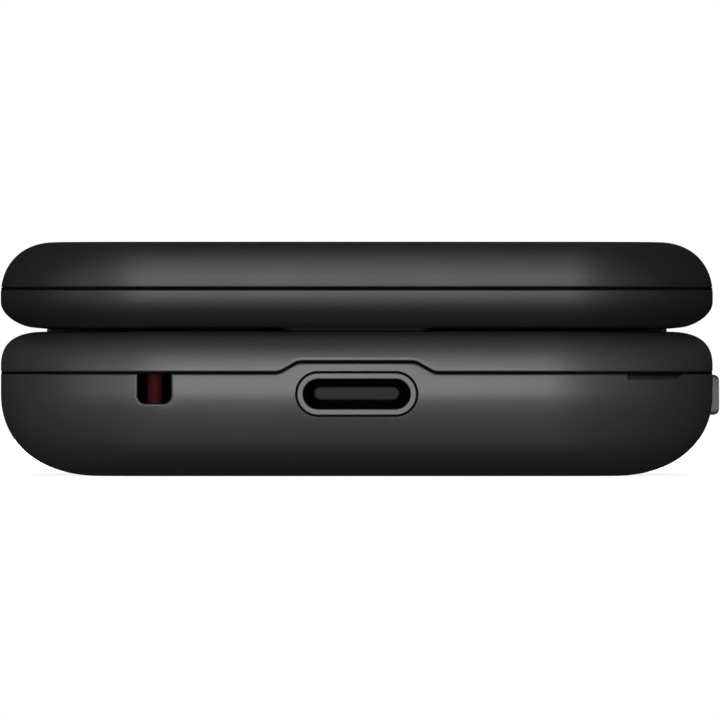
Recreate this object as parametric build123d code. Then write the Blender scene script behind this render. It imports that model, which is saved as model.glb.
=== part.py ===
"""Folding mobile phone, closed, as an assembly of separate pieces (millimetres).

Frame: origin under the middle of the closed phone, on the surface it lies on.
X is the width (the volume rocker is on the +X side), Y the length (charging port at -Y,
hinge at +Y), Z is up through the closed phone: base half below, lid half above.
"""
from build123d import *
from math import cos, radians, sin
import os

os.makedirs("parts", exist_ok=True)

# ---------------------------------------------------------------- driving dimensions
# Outside of the closed phone
body_width = 55.0
body_length = 108.0
base_height = 11.15
lid_gap = 0.30            # open line between the closed halves
lid_height = 6.60
front_radius = 13.0       # corners at the port end, seen from above
back_radius = 8.2         # corners at the hinge end
shell_overhang = 1.0      # how far both halves reach behind the hinge axis
base_low_edge = (7.6, 6.3)    # big rounding under the base: inward, upward
base_high_edge = (3.2, 2.6)
lid_low_edge = (3.0, 2.1)
lid_high_edge = (4.2, 4.1)
edge_fullness = 0.60      # 0.55 would be a plain ellipse

# Shells
wall = 1.20               # keypad housing
lid_wall = 1.10
cover_wall = 1.10         # battery cover
chassis_wall = 1.25
seam_gap = 0.16           # fine open line where two shells meet
fit_gap = 0.10            # standing gap between pieces of one half
lip_thickness = 0.60      # tongue behind each seam
lip_height = 0.80
base_seam_z = 8.00
lid_seam_z = 14.50

# Battery cover outline
cover_step_y = -22.0      # behind this its side walls are low
cover_low_z = 2.90
cover_tail_y = 34.0       # cross seam; the chassis tail lies beyond
port_hump = (4.53, 5.98, 0.83)   # half width at top, half width at seam, height
hump_softening = 0.60

# Hinge
barrel_radius = 4.70
barrel_half = 24.0
middle_half = 14.10       # half length of the middle knuckle, on the base
knuckle_gap = 0.20        # along the axis
swing_gap = 0.30          # round the barrel
can_radius = 3.20
can_length = 13.0
can_end_wall = 1.00
can_flat = 2.75           # flat that keys the can, from the axis
shaft_radius = 0.75
shaft_head = 0.60         # rivet head: height, and how far it stands out all round
cam_radius = 2.45
cam_thickness = 1.20
cam_ridge = 0.50
cam_ridge_radius = 0.55
cam_gap = 0.07            # round the cam, in the can
cam_clearance = 0.10      # between the cam's ridges, the follower and the spring
follower_thickness = 1.60
tip_section = (2.60, 4.20)
tip_length = 5.60
bush_radius = 2.90
bush_wall = 0.65
bush_reach = 6.0          # into each knuckle
running_gap = 0.05
spring_wire = 0.50
spring_turns = 6.5
flex_thickness = 0.15
flex_roll_radius = 1.55
flex_width = 4.4
flex_slit = 0.50          # opening along the rolled ribbon
flex_lead = 1.50          # level run before it drops to the board

# Port, strap slot, pry notch
port_z = 6.29
port_ring = (9.25, 3.33)
port_hole_gap = 0.12
port_mouth = (8.34, 2.40)
port_ring_depth = 1.60
port_ring_bevel = 0.14
port_end_wall = 0.60
port_stand = (6.8, 2.9, 0.20)      # foot of the shell up to the board: width, length, overlap
port_back_wall = 0.90
port_shell = (8.94, 3.00)
port_depth = 7.30
port_tongue = (6.56, 0.90)
port_tongue_setback = 0.75
strap_x = -15.55
strap_slot_width = 2.60
strap_slot_z = 5.55
strap_post_radius = 0.665
strap_pocket = (6.0, 3.4, 2.45)    # width, depth, height
strap_roof = 0.25
strap_post_root = 0.90
strap_post_setback = 0.35          # from the chassis face to the post
strap_slot_corner = 0.50
strap_pocket_wall = 1.0
pry_notch = (20.8, 25.1, 0.45)    # from, to, height
pry_notch_depth = 0.60

# Board stack under the keys
board_z = 7.90
board_thickness = 0.60
board_half_width = 24.4
sheet_thickness = 0.12
dome_radius = 2.4
dome_height = 0.18
mat_thickness = 0.30
stack_gap = 0.03
board_ledge = (3.4, 3.2, 1.4)     # shelf under the board: sides, port end, hinge end
sheet_corner = 1.5
actuator_radius = 0.80            # nub of the mat on each dome
dome_crown = 0.55                 # radius of a dome's top as a share of its foot

# Keypad
keypad_recess = 0.40
keypad_floor_thickness = 0.80
key_columns = 3
key_rows = 5              # one function row and four rows of digits
key_width = 14.0
key_depth = 10.2
key_web = 1.10            # plate left between two keys
key_corner = 2.2
key_gap = 0.15            # round a key, in its opening
key_flange = 0.45
key_flange_thickness = 0.42
key_travel = 0.30
key_below_rim = 0.10
key_edge = 0.28           # softened top edge
digits_top_y = 14.6       # upper edge of the function row
nav_y = 27.2
nav_radius = 10.0
nav_hole_radius = 4.75
nav_tilt = 1.1            # degrees each way
nav_gap = 0.20
ok_radius = 4.50
soft_key_depth = 20.6

# Battery
battery_size = (40.0, 54.0, 4.7)
battery_y = -8.0
battery_clearance = 0.25
battery_corner = 2.0
battery_edge = 0.40
well_floor = 0.70

# Volume rocker on the +X side
rocker_length = 22.0
rocker_y = 7.0
rocker_height = 3.00
rocker_z = 6.24
rocker_proud = 0.50
rocker_chamfer = (0.32, 0.42)
rocker_gap = 0.15
rocker_tilt = 1.2         # degrees each way
rocker_inner = 2.30       # from the outside of the phone to its back
rocker_wall = 1.20        # side wall that holds the rocker's flange in
rocker_flange = 0.60
rocker_flange_gap = 0.30
rocker_play = 0.35        # between the rocker's back and the domes
rocker_nub = (1.0, 2.4, 0.02)     # length, height, gap to the rocker's back
switch_board = (0.60, 19.0)   # thickness, length
switch_dome = (1.3, 0.40, 7.0)    # radius, height, distance from the middle

# Headset jack on the -X side
jack_y = 23.3
jack_z = 5.50
jack_bore_radius = 1.80
jack_barrel_radius = 2.25
jack_body = (12.5, 6.2, 4.6)
jack_setback = 2.4        # from the outside of the phone to its body
jack_end_wall = 0.80
jack_barrel_setback = 0.15

# Loudspeaker, battery contacts, card socket, shield cans
speaker_place = (5.5, 34.4)
speaker_size = (18.0, 11.0, 3.6)
speaker_slots = (5, 1.1, 5.2, 2.6)    # number, width, length, pitch
speaker_slot_y = 38.0
speaker_rim = 1.2
connector_size = (14.0, 3.5)
connector_blades = (3, 4.2, 1.8)      # number, pitch, width
connector_slot = (0.8, 3.4)           # bottom and top of the blade slots over the bay floor
card_socket_place = (13.0, -27.0)
card_socket_size = (14.0, 11.4)
card_slot = (1.0, 0.3, 1.1)           # side wall, bottom and top of the slot
can_places = ((-9.5, -8.0, 24.0, 30.0), (13.0, -2.0, 15.0, 22.0))   # x, y, width, length
can_sheet = 0.20
can_corner = 0.80

# Lid contents
window_size = (47.6, 69.0)
window_y = -8.0
window_thickness = 0.60
window_setback = 0.12
window_ledge = 1.3
window_corner = 2.0
window_bevel = 0.12
pane_seat = 0.25          # skin of the outer cover under its panes
display_size = (46.4, 66.4, 1.7)
frame_thickness = 0.30
frame_half_width = 24.0
frame_holes = (8.0, 5.0, 14.0, (-30.0, 14.0))   # width, depth, distance from the middle, rows
lid_board_thickness = 0.40
lid_board_width = 40.0
lid_ribbon_width = 1.8
sub_window_size = (33.0, 39.0)
sub_window_y = -10.0
sub_window_corner = 3.0
sub_display_size = (29.0, 34.0, 1.5)
lens_window_radius = 4.2
camera_y = 30.5
camera_size = (8.4, 8.4, 4.1)
camera_body_height = 2.6
camera_barrel_radius = 3.2
nest_wall = 0.70          # low walls of the bezel that locate a part
nest_height = 1.60
flash_x = 9.5
flash_radius = 1.7
earpiece_size = (13.0, 6.0, 2.2)
earpiece_y = -47.2
earpiece_slots = (5, 1.5, 0.7, 2.3)   # number, width, height, pitch
motor_radius = 4.0
motor_thickness = 2.6
motor_place = (-15.0, 33.6)
metal_edge = 0.30         # softened edge of the motor and the earpiece
bumper_size = (11.2, 2.2)
bumper_y = -49.9
bumper_gap = 0.03
bumper_depth = 0.50
cap_radius = 1.90
cap_depth = 0.55

# Fasteners
screw_radius = 0.70
screw_head_radius = 1.25
screw_head = 0.60
boss_radius = 1.35
screw_seat_z = 4.60       # under the heads in the base
screw_cross = (1.5, 0.35, 0.7)        # length, width, depth
column_wall = 0.50
base_screw_places = ((19.4, -47.0), (24.15, -13.2), (24.15, 29.2))
lid_screw_places = ((19.6, -47.6), (22.0, 36.6))

# ---------------------------------------------------------------- derived places
half_width = body_width / 2
front_y = -body_length / 2
hinge_y = body_length / 2 - barrel_radius
hinge_z = base_height + lid_gap / 2
back_y = hinge_y + shell_overhang
lid_bottom = base_height + lid_gap
lid_top = lid_bottom + lid_height
far = body_length          # longer than anything that is cut

keypad_floor_z = base_height - keypad_recess
plate_under_z = base_height - wall
key_top_z = base_height - key_below_rim
board_top = board_z + board_thickness
sheet_top = board_top + sheet_thickness
mat_z = sheet_top + dome_height + stack_gap
mat_top = mat_z + mat_thickness
flange_z = mat_top + key_travel + stack_gap
well_top = cover_wall + 2 * fit_gap + battery_size[2] + battery_clearance
chassis_inset = cover_wall + fit_gap
bay_floor_z = chassis_inset + well_floor      # deep bays before and behind the battery
bay_radius = front_radius - chassis_inset - chassis_wall
well_y0 = battery_y - battery_size[1] / 2 - battery_clearance
well_y1 = battery_y + battery_size[1] / 2 + battery_clearance
strap_post_z = base_seam_z - seam_gap / 2 - strap_roof - strap_pocket[2] - strap_post_root
strap_post_y = front_y + chassis_inset + strap_post_radius + strap_post_setback
switch_face = half_width - rocker_inner
rocker_back = switch_face + rocker_play
lid_floor = lid_bottom + lid_wall      # inside face of the bezel
lid_roof = lid_top - lid_wall          # inside face of the outer cover
display_z = lid_floor + fit_gap / 2
frame_z = display_z + display_size[2] + fit_gap / 2
lid_board_z = frame_z + frame_thickness + fit_gap / 2
sub_display_z = lid_board_z + lid_board_thickness + fit_gap / 2
lid_screw_seat = lid_bottom + cap_depth + screw_head + fit_gap


# ---------------------------------------------------------------- shape helpers
def bar(x0, x1, y0, y1, z0, z1):
    """Box between two corners."""
    return Pos((x0 + x1) / 2, (y0 + y1) / 2, (z0 + z1) / 2) * Box(x1 - x0, y1 - y0, z1 - z0)


def pill(x, y, width, depth, radius, z0, z1):
    """Upright prism with a rounded-rectangle plan."""
    return Pos(x, y, z0) * extrude(RectangleRounded(width, depth, radius), amount=z1 - z0)


def post(radius, x, y, z0, z1):
    """Upright cylinder."""
    return Pos(x, y, (z0 + z1) / 2) * Cylinder(radius, z1 - z0)


def upright_cone(foot, top, x, y, z0, z1):
    """Cone frustum that stands on z0."""
    return Pos(x, y, (z0 + z1) / 2) * Cone(foot, top, z1 - z0)


def rod(radius, x0, x1, y=hinge_y, z=hinge_z):
    """Cylinder along X, on the hinge axis unless told otherwise."""
    return Pos((x0 + x1) / 2, y, z) * Rot(0, 90, 0) * Cylinder(radius, x1 - x0)


def stadium(width, height, y0, y1, x=0.0, z=port_z):
    """Prism along Y whose section is a slot with round ends."""
    outline = Plane((x, y0, z), x_dir=(1, 0, 0), z_dir=(0, 1, 0)) * SlotOverall(width, height)
    return extrude(outline, amount=y1 - y0)


def corner_curve(side, flat):
    """Cubic from the side of a form to its flat face, fuller than an ellipse."""
    knee = Vector(side.X, side.Y, flat.Z)
    bend_a = side + (knee - side) * edge_fullness
    bend_b = flat + (knee - flat) * edge_fullness
    return Bezier(side, bend_a, bend_b, flat)


def edge_section(half, radius, z0, z1, low, high):
    """Section through one side, from the outside inward to the corner's centre."""
    def point(u, z):
        return Vector(half - u, 0, z)
    side_low = point(0, z0 + low[1])
    side_high = point(0, z1 - high[1])
    flat_low = point(low[0], z0)
    flat_high = point(high[0], z1)
    return Face(Wire([
        Line(point(radius, z0), flat_low).edge(),
        corner_curve(side_low, flat_low).edge(),
        Line(side_low, side_high).edge(),
        corner_curve(side_high, flat_high).edge(),
        Line(flat_high, point(radius, z1)).edge(),
        Line(point(radius, z1), point(radius, z0)).edge(),
    ]))


def pebble_end(half, length, radius, z0, z1, low, high):
    """One end of a rounded block: it starts at y = 0 and ends at y = length."""
    face = edge_section(half, radius, z0, z1, low, high)
    straight_x = half - radius
    straight_y = length - radius
    corner = revolve(Pos(-straight_x, 0, 0) * face, axis=Axis.Z, revolution_arc=90)
    side = extrude(face, amount=straight_y, dir=(0, 1, 0))
    end = extrude(Pos(-straight_x, 0, 0) * face, amount=straight_x, dir=(0, 1, 0), both=True)
    parts = [bar(-straight_x, straight_x, 0, straight_y, z0, z1),
             side, mirror(side, about=Plane.YZ),
             Pos(0, straight_y, 0) * Rot(0, 0, 90) * end]
    right = Pos(straight_x, straight_y, 0) * corner
    return parts + [right, mirror(right, about=Plane.YZ)]


def pebble(half, y0, y1, radii, z0, z1, low, high):
    """Block with rounded corners in plan, whose lower and upper edges are rounded all the way round."""
    middle = (y0 + y1) / 2
    length = (y1 - y0) / 2
    front, back = (pebble_end(half, length, radius, z0, z1, low, high) for radius in radii)
    placed = [Pos(0, middle, 0) * part for part in back]
    placed += [Pos(0, middle, 0) * Rot(0, 0, 180) * part for part in front]
    return placed[0].fuse(*placed[1:]).clean()


def shrink(sizes, inset):
    """Two radii or rounding sizes of a form that lies deeper by inset."""
    return (sizes[0] - inset, sizes[1] - inset)


def base_form(inset):
    """Outer form of the base half, or one that lies inside it by inset."""
    return pebble(half_width - inset, front_y + inset, back_y - inset, shrink((front_radius, back_radius), inset),
                  inset, base_height - inset, shrink(base_low_edge, inset), shrink(base_high_edge, inset))


def lid_form(inset):
    """Outer form of the lid half, or one that lies inside it by inset."""
    return pebble(half_width - inset, front_y + inset, back_y - inset, shrink((front_radius, back_radius), inset),
                  lid_bottom + inset, lid_top - inset, shrink(lid_low_edge, inset), shrink(lid_high_edge, inset))


def above(z, top=far):
    """Half space over a height."""
    return bar(-far, far, -far, far, z, top)


def below(z):
    """Half space under a height."""
    return bar(-far, far, -far, far, -far, z)


def both_sides(places):
    """Mirror a list of (x, y) places to both sides of the phone."""
    return [(side * x, y) for x, y in places for side in (-1, 1)]


def one(shape):
    """The single solid of a finished piece."""
    solids = shape.solids()
    return solids[0] if len(solids) == 1 else shape


pieces = {}


def keep(name, shape):
    pieces[name] = shape


# ---------------------------------------------------------------- shared cutters
barrel_room = barrel_radius + swing_gap
barrel_shield = barrel_room + lid_wall


def side_knuckle_room(radius):
    """Space round the two outer knuckles."""
    reach = barrel_half + knuckle_gap
    start = middle_half - fit_gap
    return rod(radius, start, reach) + rod(radius, -reach, -start)


def middle_knuckle_room(radius):
    """Space round the middle knuckle."""
    reach = middle_half + knuckle_gap
    return rod(radius, -reach, reach)


def port_hump_block(grow):
    """Raised part of the battery cover's upper edge, over the charging port."""
    top, foot, height = port_hump
    low = -seam_gap
    corners = ((-foot - grow, low), (-foot - grow, 0), (-top - grow, height + grow), (top + grow, height + grow),
               (foot + grow, 0), (foot + grow, low))
    outline = Polyline(*[(x, front_y - 1, base_seam_z + z) for x, z in corners], close=True)
    block = extrude(make_face(outline.edges()), amount=wall + 1, dir=(0, 1, 0))
    shoulders = block.edges().filter_by(Axis.Y).group_by(Axis.Z)[-1]
    return fillet(shoulders, hump_softening)


def pry_notch_room():
    """Fingernail notch in the cover's upper edge, with one slanted end."""
    x0, x1, height = pry_notch
    top = base_seam_z
    low = top - seam_gap / 2 - height
    outline = Polyline((x0, front_y - 1, top), (x0, front_y - 1, low), (x1 - height, front_y - 1, low),
                       (x1, front_y - 1, top - seam_gap / 2), (x1, front_y - 1, top), close=True)
    return extrude(make_face(outline.edges()), amount=front_radius, dir=(0, 1, 0))


def cover_region(grow):
    """Space that the battery cover takes up in the base form."""
    top = base_seam_z - seam_gap / 2 + grow
    low = cover_low_z + grow
    rise = top - low
    outline = Polyline((0, -far, -far), (0, cover_tail_y + grow, -far), (0, cover_tail_y + grow, low),
                       (0, cover_step_y + rise + grow, low), (0, cover_step_y + grow, top),
                       (0, -far, top), close=True)
    return extrude(make_face(outline.edges()), amount=far, dir=(1, 0, 0), both=True)


# ---------------------------------------------------------------- keypad layout
key_pitch_x = key_width + key_web
key_pitch_y = key_depth + key_web
keypad_half = key_pitch_x * (key_columns - 1) / 2 + key_width / 2
keypad_bottom_y = digits_top_y - key_rows * key_pitch_y + key_web
soft_inner_x = nav_radius + 2 * nav_gap + key_web
soft_width = keypad_half - soft_inner_x

key_names = (("send_key", "clear_key", "end_key"),
             ("key_1", "key_2", "key_3"),
             ("key_4", "key_5", "key_6"),
             ("key_7", "key_8", "key_9"),
             ("key_star", "key_0", "key_hash"))


def key_places():
    """Name, centre and size of each rectangular key."""
    found = []
    for row, names in enumerate(key_names):
        for column, name in enumerate(names):
            x = (column - (key_columns - 1) / 2) * key_pitch_x
            y = digits_top_y - key_depth / 2 - row * key_pitch_y
            found.append((name, x, y, key_width, key_depth))
    soft_x = soft_inner_x + soft_width / 2
    found.append(("left_soft_key", -soft_x, nav_y, soft_width, soft_key_depth))
    found.append(("right_soft_key", soft_x, nav_y, soft_width, soft_key_depth))
    return found


# ---------------------------------------------------------------- base half
def keypad_housing():
    shell = base_form(0) & above(base_seam_z + seam_gap / 2)
    cavity = base_form(wall) - rod(barrel_shield, -far, far)
    body = shell - cavity
    recess_bottom = keypad_bottom_y - key_web
    recess_top = nav_y + soft_key_depth / 2 + key_web
    body -= pill(0, (recess_bottom + recess_top) / 2, 2 * (keypad_half + key_web), recess_top - recess_bottom,
                 key_corner + key_web, keypad_floor_z, far)
    for name, x, y, width, depth in key_places():
        body -= pill(x, y, width + 2 * key_gap, depth + 2 * key_gap, key_corner + key_gap, 0, far)
    body -= post(nav_radius + nav_gap, 0, nav_y, 0, far)
    for x, y in both_sides(base_screw_places):
        body += post(boss_radius, x, y, board_top + fit_gap, plate_under_z + wall / 2)
        body -= post(screw_radius, x, y, 0, plate_under_z + wall / 4)
    body += rod(barrel_radius, -middle_half, middle_half)
    body -= side_knuckle_room(barrel_room)
    can_room = rod(can_radius + fit_gap / 2, -far, -middle_half + can_length + fit_gap)
    can_room &= above(hinge_z - can_flat - fit_gap / 2)
    body -= can_room
    body -= rod(shaft_radius + shaft_head, -middle_half, -middle_half + can_length + shaft_head + 2 * fit_gap)
    body -= rod(bush_radius + running_gap, middle_half - bush_reach - fit_gap, far)
    body -= flex_passage()
    body -= port_hump_block(seam_gap)
    return body


def flex_passage():
    """Way for the ribbon from the middle knuckle's bore down into the base."""
    x1 = middle_half - bush_reach - 2 * fit_gap
    x0 = x1 - flex_width - 2 * fit_gap
    roll = rod(flex_roll_radius + 2 * fit_gap, x0, middle_half)
    chute_y = hinge_y - flex_roll_radius
    chute = bar(x0, x1, front_y, chute_y + flex_thickness + 4 * fit_gap,
                hinge_z - flex_roll_radius - 3 * fit_gap, hinge_z - flex_roll_radius + 3 * fit_gap)
    chute &= bar(-far, far, hinge_y - barrel_shield - wall, far, -far, far)
    well = bar(x0, x1, hinge_y - flex_roll_radius - fit_gap, hinge_y, hinge_z - flex_roll_radius - 3 * fit_gap,
               hinge_z)
    return roll + chute + well


def rear_chassis():
    inner = base_form(chassis_inset)
    outer = base_form(0) - cover_region(fit_gap)
    top = base_seam_z - seam_gap / 2
    body = (inner + outer) & below(top)
    lip_room = wall + fit_gap
    lip = (base_form(lip_room) - base_form(lip_room + lip_thickness))
    lip &= above(top - lip_height / 2, top + lip_height)
    lip -= rod(barrel_shield + fit_gap, -far, far)
    body += lip & bar(-far, far, -far, hinge_y - barrel_shield, -far, far)
    well_half = battery_size[0] / 2 + battery_clearance
    body -= bar(-well_half, well_half, well_y0, well_y1, -far, well_top)
    # board bay over the whole half, deeper before and behind the battery
    bay_half = board_half_width + 2 * fit_gap
    bay_y0 = front_y + chassis_inset + chassis_wall
    bay_y1 = hinge_y - barrel_shield - wall / 2
    floor_top = well_top + well_floor
    body -= pill(0, (bay_y0 + bay_y1) / 2, 2 * bay_half, bay_y1 - bay_y0, bay_radius,
                 floor_top, far) - lip_guard(bay_half)
    side_ledge, port_ledge, hinge_ledge = board_ledge
    deep_half = board_half_width - side_ledge
    body -= bar(-deep_half, deep_half, bay_y0 + port_ledge, well_y0 - chassis_wall, bay_floor_z, far)
    body -= bar(-deep_half, deep_half, well_y1 + chassis_wall, bay_y1 - hinge_ledge, bay_floor_z, far)
    # pads that carry the board, and columns for the screws
    for x, y in both_sides(base_screw_places):
        column = post(boss_radius + column_wall, x, y, bay_floor_z, board_z) & base_form(chassis_inset)
        body += column
        body -= post(screw_radius + fit_gap, x, y, 0, far)
        body -= post(screw_head_radius + fit_gap, x, y, -far, screw_seat_z)
        body -= post(boss_radius + fit_gap, x, y, board_top, far)
    # port, strap pocket
    hole = (port_ring[0] + 2 * port_hole_gap, port_ring[1] + 2 * port_hole_gap)
    body -= stadium(hole[0], hole[1], front_y - 1, bay_y0 + 4)
    pocket_w, pocket_d, pocket_h = strap_pocket
    pocket_top = top - strap_roof
    pocket_y = front_y + chassis_inset
    block_half = pocket_w / 2 + strap_pocket_wall
    block = bar(strap_x - block_half, strap_x + block_half, pocket_y, pocket_y + pocket_d + strap_pocket_wall,
                bay_floor_z, board_z)
    body += block & base_form(chassis_inset)
    body -= bar(strap_x - pocket_w / 2, strap_x + pocket_w / 2, pocket_y - 1, pocket_y + pocket_d,
                pocket_top - pocket_h, pocket_top)
    body -= post(strap_post_radius, strap_x, strap_post_y, strap_post_z, far)
    # room for the rocker, its switch and the jack
    body -= rocker_room()
    body -= jack_room()
    body -= speaker_holes()
    body -= connector_block(fit_gap)
    x, y = card_socket_place
    body -= pill(x, y, card_socket_size[0] + 2 * fit_gap, card_socket_size[1] + 2 * fit_gap, 0.8, 0, far)
    # hinge side
    body -= middle_knuckle_room(barrel_radius + fit_gap)
    body -= side_knuckle_room(barrel_room)
    return body


def lip_guard(bay_half):
    """Nothing is taken from the lip outside the board bay."""
    return bar(bay_half, far, -far, far, -far, far)


def rocker_room():
    """Opening in the side wall for the rocker, and the pocket behind it for its switch."""
    half_length = rocker_length / 2 + rocker_gap
    half_height = rocker_height / 2 + rocker_gap
    opening = bar(half_width - rocker_inner, far, rocker_y - half_length, rocker_y + half_length,
                  rocker_z - half_height, rocker_z + half_height)
    back = switch_face - switch_dome[1] - switch_board[0]
    reach = half_length + rocker_flange + rocker_flange_gap
    pocket = bar(back - fit_gap, half_width - rocker_wall, rocker_y - reach, rocker_y + reach,
                 rocker_z - half_height - rocker_flange_gap, far)
    return opening + pocket


def jack_room():
    """Pocket for the headset jack, and the round hole for its barrel."""
    length, width, height = jack_body
    x0 = -half_width + jack_setback
    barrel = rod(jack_barrel_radius + fit_gap, -far, x0 + 1, jack_y, jack_z)
    pocket = bar(x0 - fit_gap, x0 + length + fit_gap, jack_y - width / 2 - fit_gap, jack_y + width / 2 + fit_gap,
                 jack_z - height / 2 - fit_gap, far)
    return barrel + pocket


def speaker_holes():
    """Slots through the rear of the chassis, in front of the loudspeaker."""
    slots = None
    count, width, length, pitch = speaker_slots
    for index in range(count):
        x = speaker_place[0] + (index - (count - 1) / 2) * pitch
        slot = pill(x, speaker_slot_y, width, length, width * 0.45, -1, bay_floor_z + 1)
        slots = slot if slots is None else slots + slot
    return slots


def battery_cover():
    shell = base_form(0) - base_form(cover_wall)
    body = shell & (cover_region(0) + port_hump_block(0))
    body -= stadium(port_ring[0] + 2 * port_hole_gap, port_ring[1] + 2 * port_hole_gap, front_y - 1, front_y + 4)
    slot_top = base_seam_z
    slot_height = slot_top - strap_slot_z
    slot = bar(strap_x - strap_slot_width / 2, strap_x + strap_slot_width / 2, front_y - 1, front_y + 4,
               strap_slot_z, slot_top)
    slot = fillet(slot.edges().filter_by(Axis.Y).group_by(Axis.Z)[0], strap_slot_corner)
    body -= slot
    body -= pry_notch_room() - base_form(pry_notch_depth)
    return body


def slab_block(size, x, y, z, corner=0.6):
    """Rounded block: size is (x, y, z) and z is its underside."""
    return pill(x, y, size[0], size[1], corner, z, z + size[2])


def battery():
    z = cover_wall + 2 * fit_gap
    body = slab_block(battery_size, 0, battery_y, z, battery_corner)
    return chamfer(body.edges().filter_by(GeomType.LINE).group_by(Axis.Z)[0], battery_edge)


def main_board():
    y0 = front_y + chassis_inset + chassis_wall + 4 * fit_gap
    y1 = hinge_y - barrel_shield - wall
    body = pill(0, (y0 + y1) / 2, 2 * board_half_width, y1 - y0, bay_radius - 2 * fit_gap, board_z, board_top)
    for x, y in both_sides(base_screw_places):
        body -= post(screw_radius + fit_gap, x, y, 0, far)
    return body


def keypad_span():
    """Y limits of the keypad."""
    margin = 4 * fit_gap
    return keypad_bottom_y - margin, nav_y + soft_key_depth / 2 + margin


def under_keys(z0, z1):
    """Sheet that lies under the whole keypad, notched round the screw bosses."""
    y0, y1 = keypad_span()
    body = pill(0, (y0 + y1) / 2, 2 * keypad_half + 8 * fit_gap, y1 - y0, sheet_corner, z0, z1)
    for x, y in both_sides(base_screw_places):
        body -= post(boss_radius + 2 * fit_gap, x, y, 0, far)
    return body


def dome_places():
    """Centres of the snap domes, one for each thing that can be pressed."""
    found = [(x, y) for name, x, y, width, depth in key_places()]
    found += [(0, nav_y)]
    ring = (nav_radius + nav_hole_radius + fit_gap) / 2 + key_flange - fit_gap
    found += [(ring * cos(radians(a)), nav_y + ring * sin(radians(a))) for a in (0, 90, 180, 270)]
    return found


def dome_sheet():
    body = under_keys(board_top, sheet_top)
    for x, y in dome_places():
        body += upright_cone(dome_radius, dome_radius * dome_crown, x, y, sheet_top - stack_gap,
                             sheet_top + dome_height)
    return body


def keypad_mat():
    body = under_keys(mat_z, mat_top)
    for x, y in dome_places():
        hollow = mat_z + mat_thickness / 3
        body -= post(dome_radius + fit_gap, x, y, 0, hollow) - post(actuator_radius, x, y, 0, far)
    return body


def push_key(x, y, width, depth):
    """Key with a softened top edge and a flange that the housing holds down."""
    cap = pill(x, y, width, depth, key_corner, flange_z, key_top_z)
    cap = fillet(cap.edges().group_by(Axis.Z)[-1], key_edge)
    flange = pill(x, y, width + 2 * key_flange, depth + 2 * key_flange, key_corner + key_flange,
                  flange_z, flange_z + key_flange_thickness)
    return cap + flange


def nav_key():
    swing = (nav_radius + key_flange) * sin(radians(nav_tilt))
    flange_bottom = mat_top + swing + stack_gap
    flange_top = plate_under_z - swing - stack_gap
    cap = post(nav_radius, 0, nav_y, flange_bottom, key_top_z - fit_gap)
    cap = fillet(cap.edges().group_by(Axis.Z)[-1], key_edge)
    body = cap + post(nav_radius + key_flange, 0, nav_y, flange_bottom, flange_top)
    body -= post(nav_hole_radius, 0, nav_y, 0, far)
    body -= post(ok_radius + 2 * key_flange + nav_gap, 0, nav_y, 0, flange_z + key_flange_thickness + nav_gap)
    return body


def ok_key():
    cap = post(ok_radius, 0, nav_y, flange_z, key_top_z - fit_gap)
    cap = fillet(cap.edges().group_by(Axis.Z)[-1], key_edge)
    return cap + post(ok_radius + key_flange, 0, nav_y, flange_z, flange_z + key_flange_thickness)


def shield_cans():
    """Two pressed covers under the board, over the radio and the processor."""
    cans = []
    top = board_z
    bottom = well_top + well_floor + fit_gap
    for x, y, width, depth in can_places:
        can = slab_block((width, depth, top - bottom), x, y, bottom, can_corner)
        inside = (width - 2 * can_sheet, depth - 2 * can_sheet, top - bottom)
        cans.append(can - slab_block(inside, x, y, bottom + can_sheet, can_corner - can_sheet))
    return Compound(children=[one(can) for can in cans])


def usb_ring():
    outer = stadium(port_ring[0], port_ring[1], front_y, front_y + port_ring_depth)
    inner = stadium(port_mouth[0], port_mouth[1], front_y - 1, front_y + port_ring_depth + 1)
    body = outer - inner
    return chamfer(body.edges().group_by(Axis.Y)[0], port_ring_bevel)


def usb_shell():
    y0 = front_y + port_ring_depth
    outer = stadium(port_shell[0], port_shell[1], y0, front_y + port_depth)
    inner = stadium(port_mouth[0], port_mouth[1], y0 - 1, front_y + port_depth - port_end_wall)
    width, length, overlap = port_stand
    stand_y = front_y + port_depth - fit_gap
    stand = bar(-width / 2, width / 2, stand_y - length, stand_y, port_z + port_shell[1] / 2 - overlap, board_z)
    return outer - inner + stand


def usb_tongue():
    y0 = front_y + port_tongue_setback
    y1 = front_y + port_depth - port_end_wall
    body = stadium(port_tongue[0], port_tongue[1], y0, y1)
    return body + stadium(port_mouth[0], port_mouth[1], y1 - port_back_wall, y1)


def audio_jack():
    length, width, height = jack_body
    x0 = -half_width + jack_setback
    body = bar(x0, x0 + length, jack_y - width / 2, jack_y + width / 2, jack_z - height / 2, board_z)
    body += rod(jack_barrel_radius, -half_width + jack_barrel_setback, x0 + 1, jack_y, jack_z)
    return body - rod(jack_bore_radius, -far, x0 + length - jack_end_wall, jack_y, jack_z)


def strap_post():
    return post(strap_post_radius, strap_x, strap_post_y, strap_post_z, base_seam_z - seam_gap / 2)


def loudspeaker():
    x, y = speaker_place
    z = bay_floor_z + fit_gap / 2
    width, depth, height = speaker_size
    cone_room = (width - 2 * speaker_rim, depth - 2 * speaker_rim, 1)
    return slab_block(speaker_size, x, y, z, 1.5) - slab_block(cone_room, x, y, z - 0.5, 1.0)


def connector_block(grow):
    """Outside of the battery contact block, which stands at the end of the battery well."""
    width, depth = connector_size
    return bar(-width / 2 - grow, width / 2 + grow, well_y1 + fit_gap - grow, well_y1 + fit_gap + depth + grow,
               bay_floor_z + fit_gap - grow, board_z + grow)


def battery_connector():
    """Block of spring contacts against the end of the battery."""
    body = connector_block(0)
    count, pitch, width = connector_blades
    for index in range(count):
        x = (index - (count - 1) / 2) * pitch
        body -= bar(x - width / 2, x + width / 2, well_y1 - 1, well_y1 + connector_size[1] - 0.8,
                    bay_floor_z + connector_slot[0], bay_floor_z + connector_slot[1])
    return body


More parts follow.
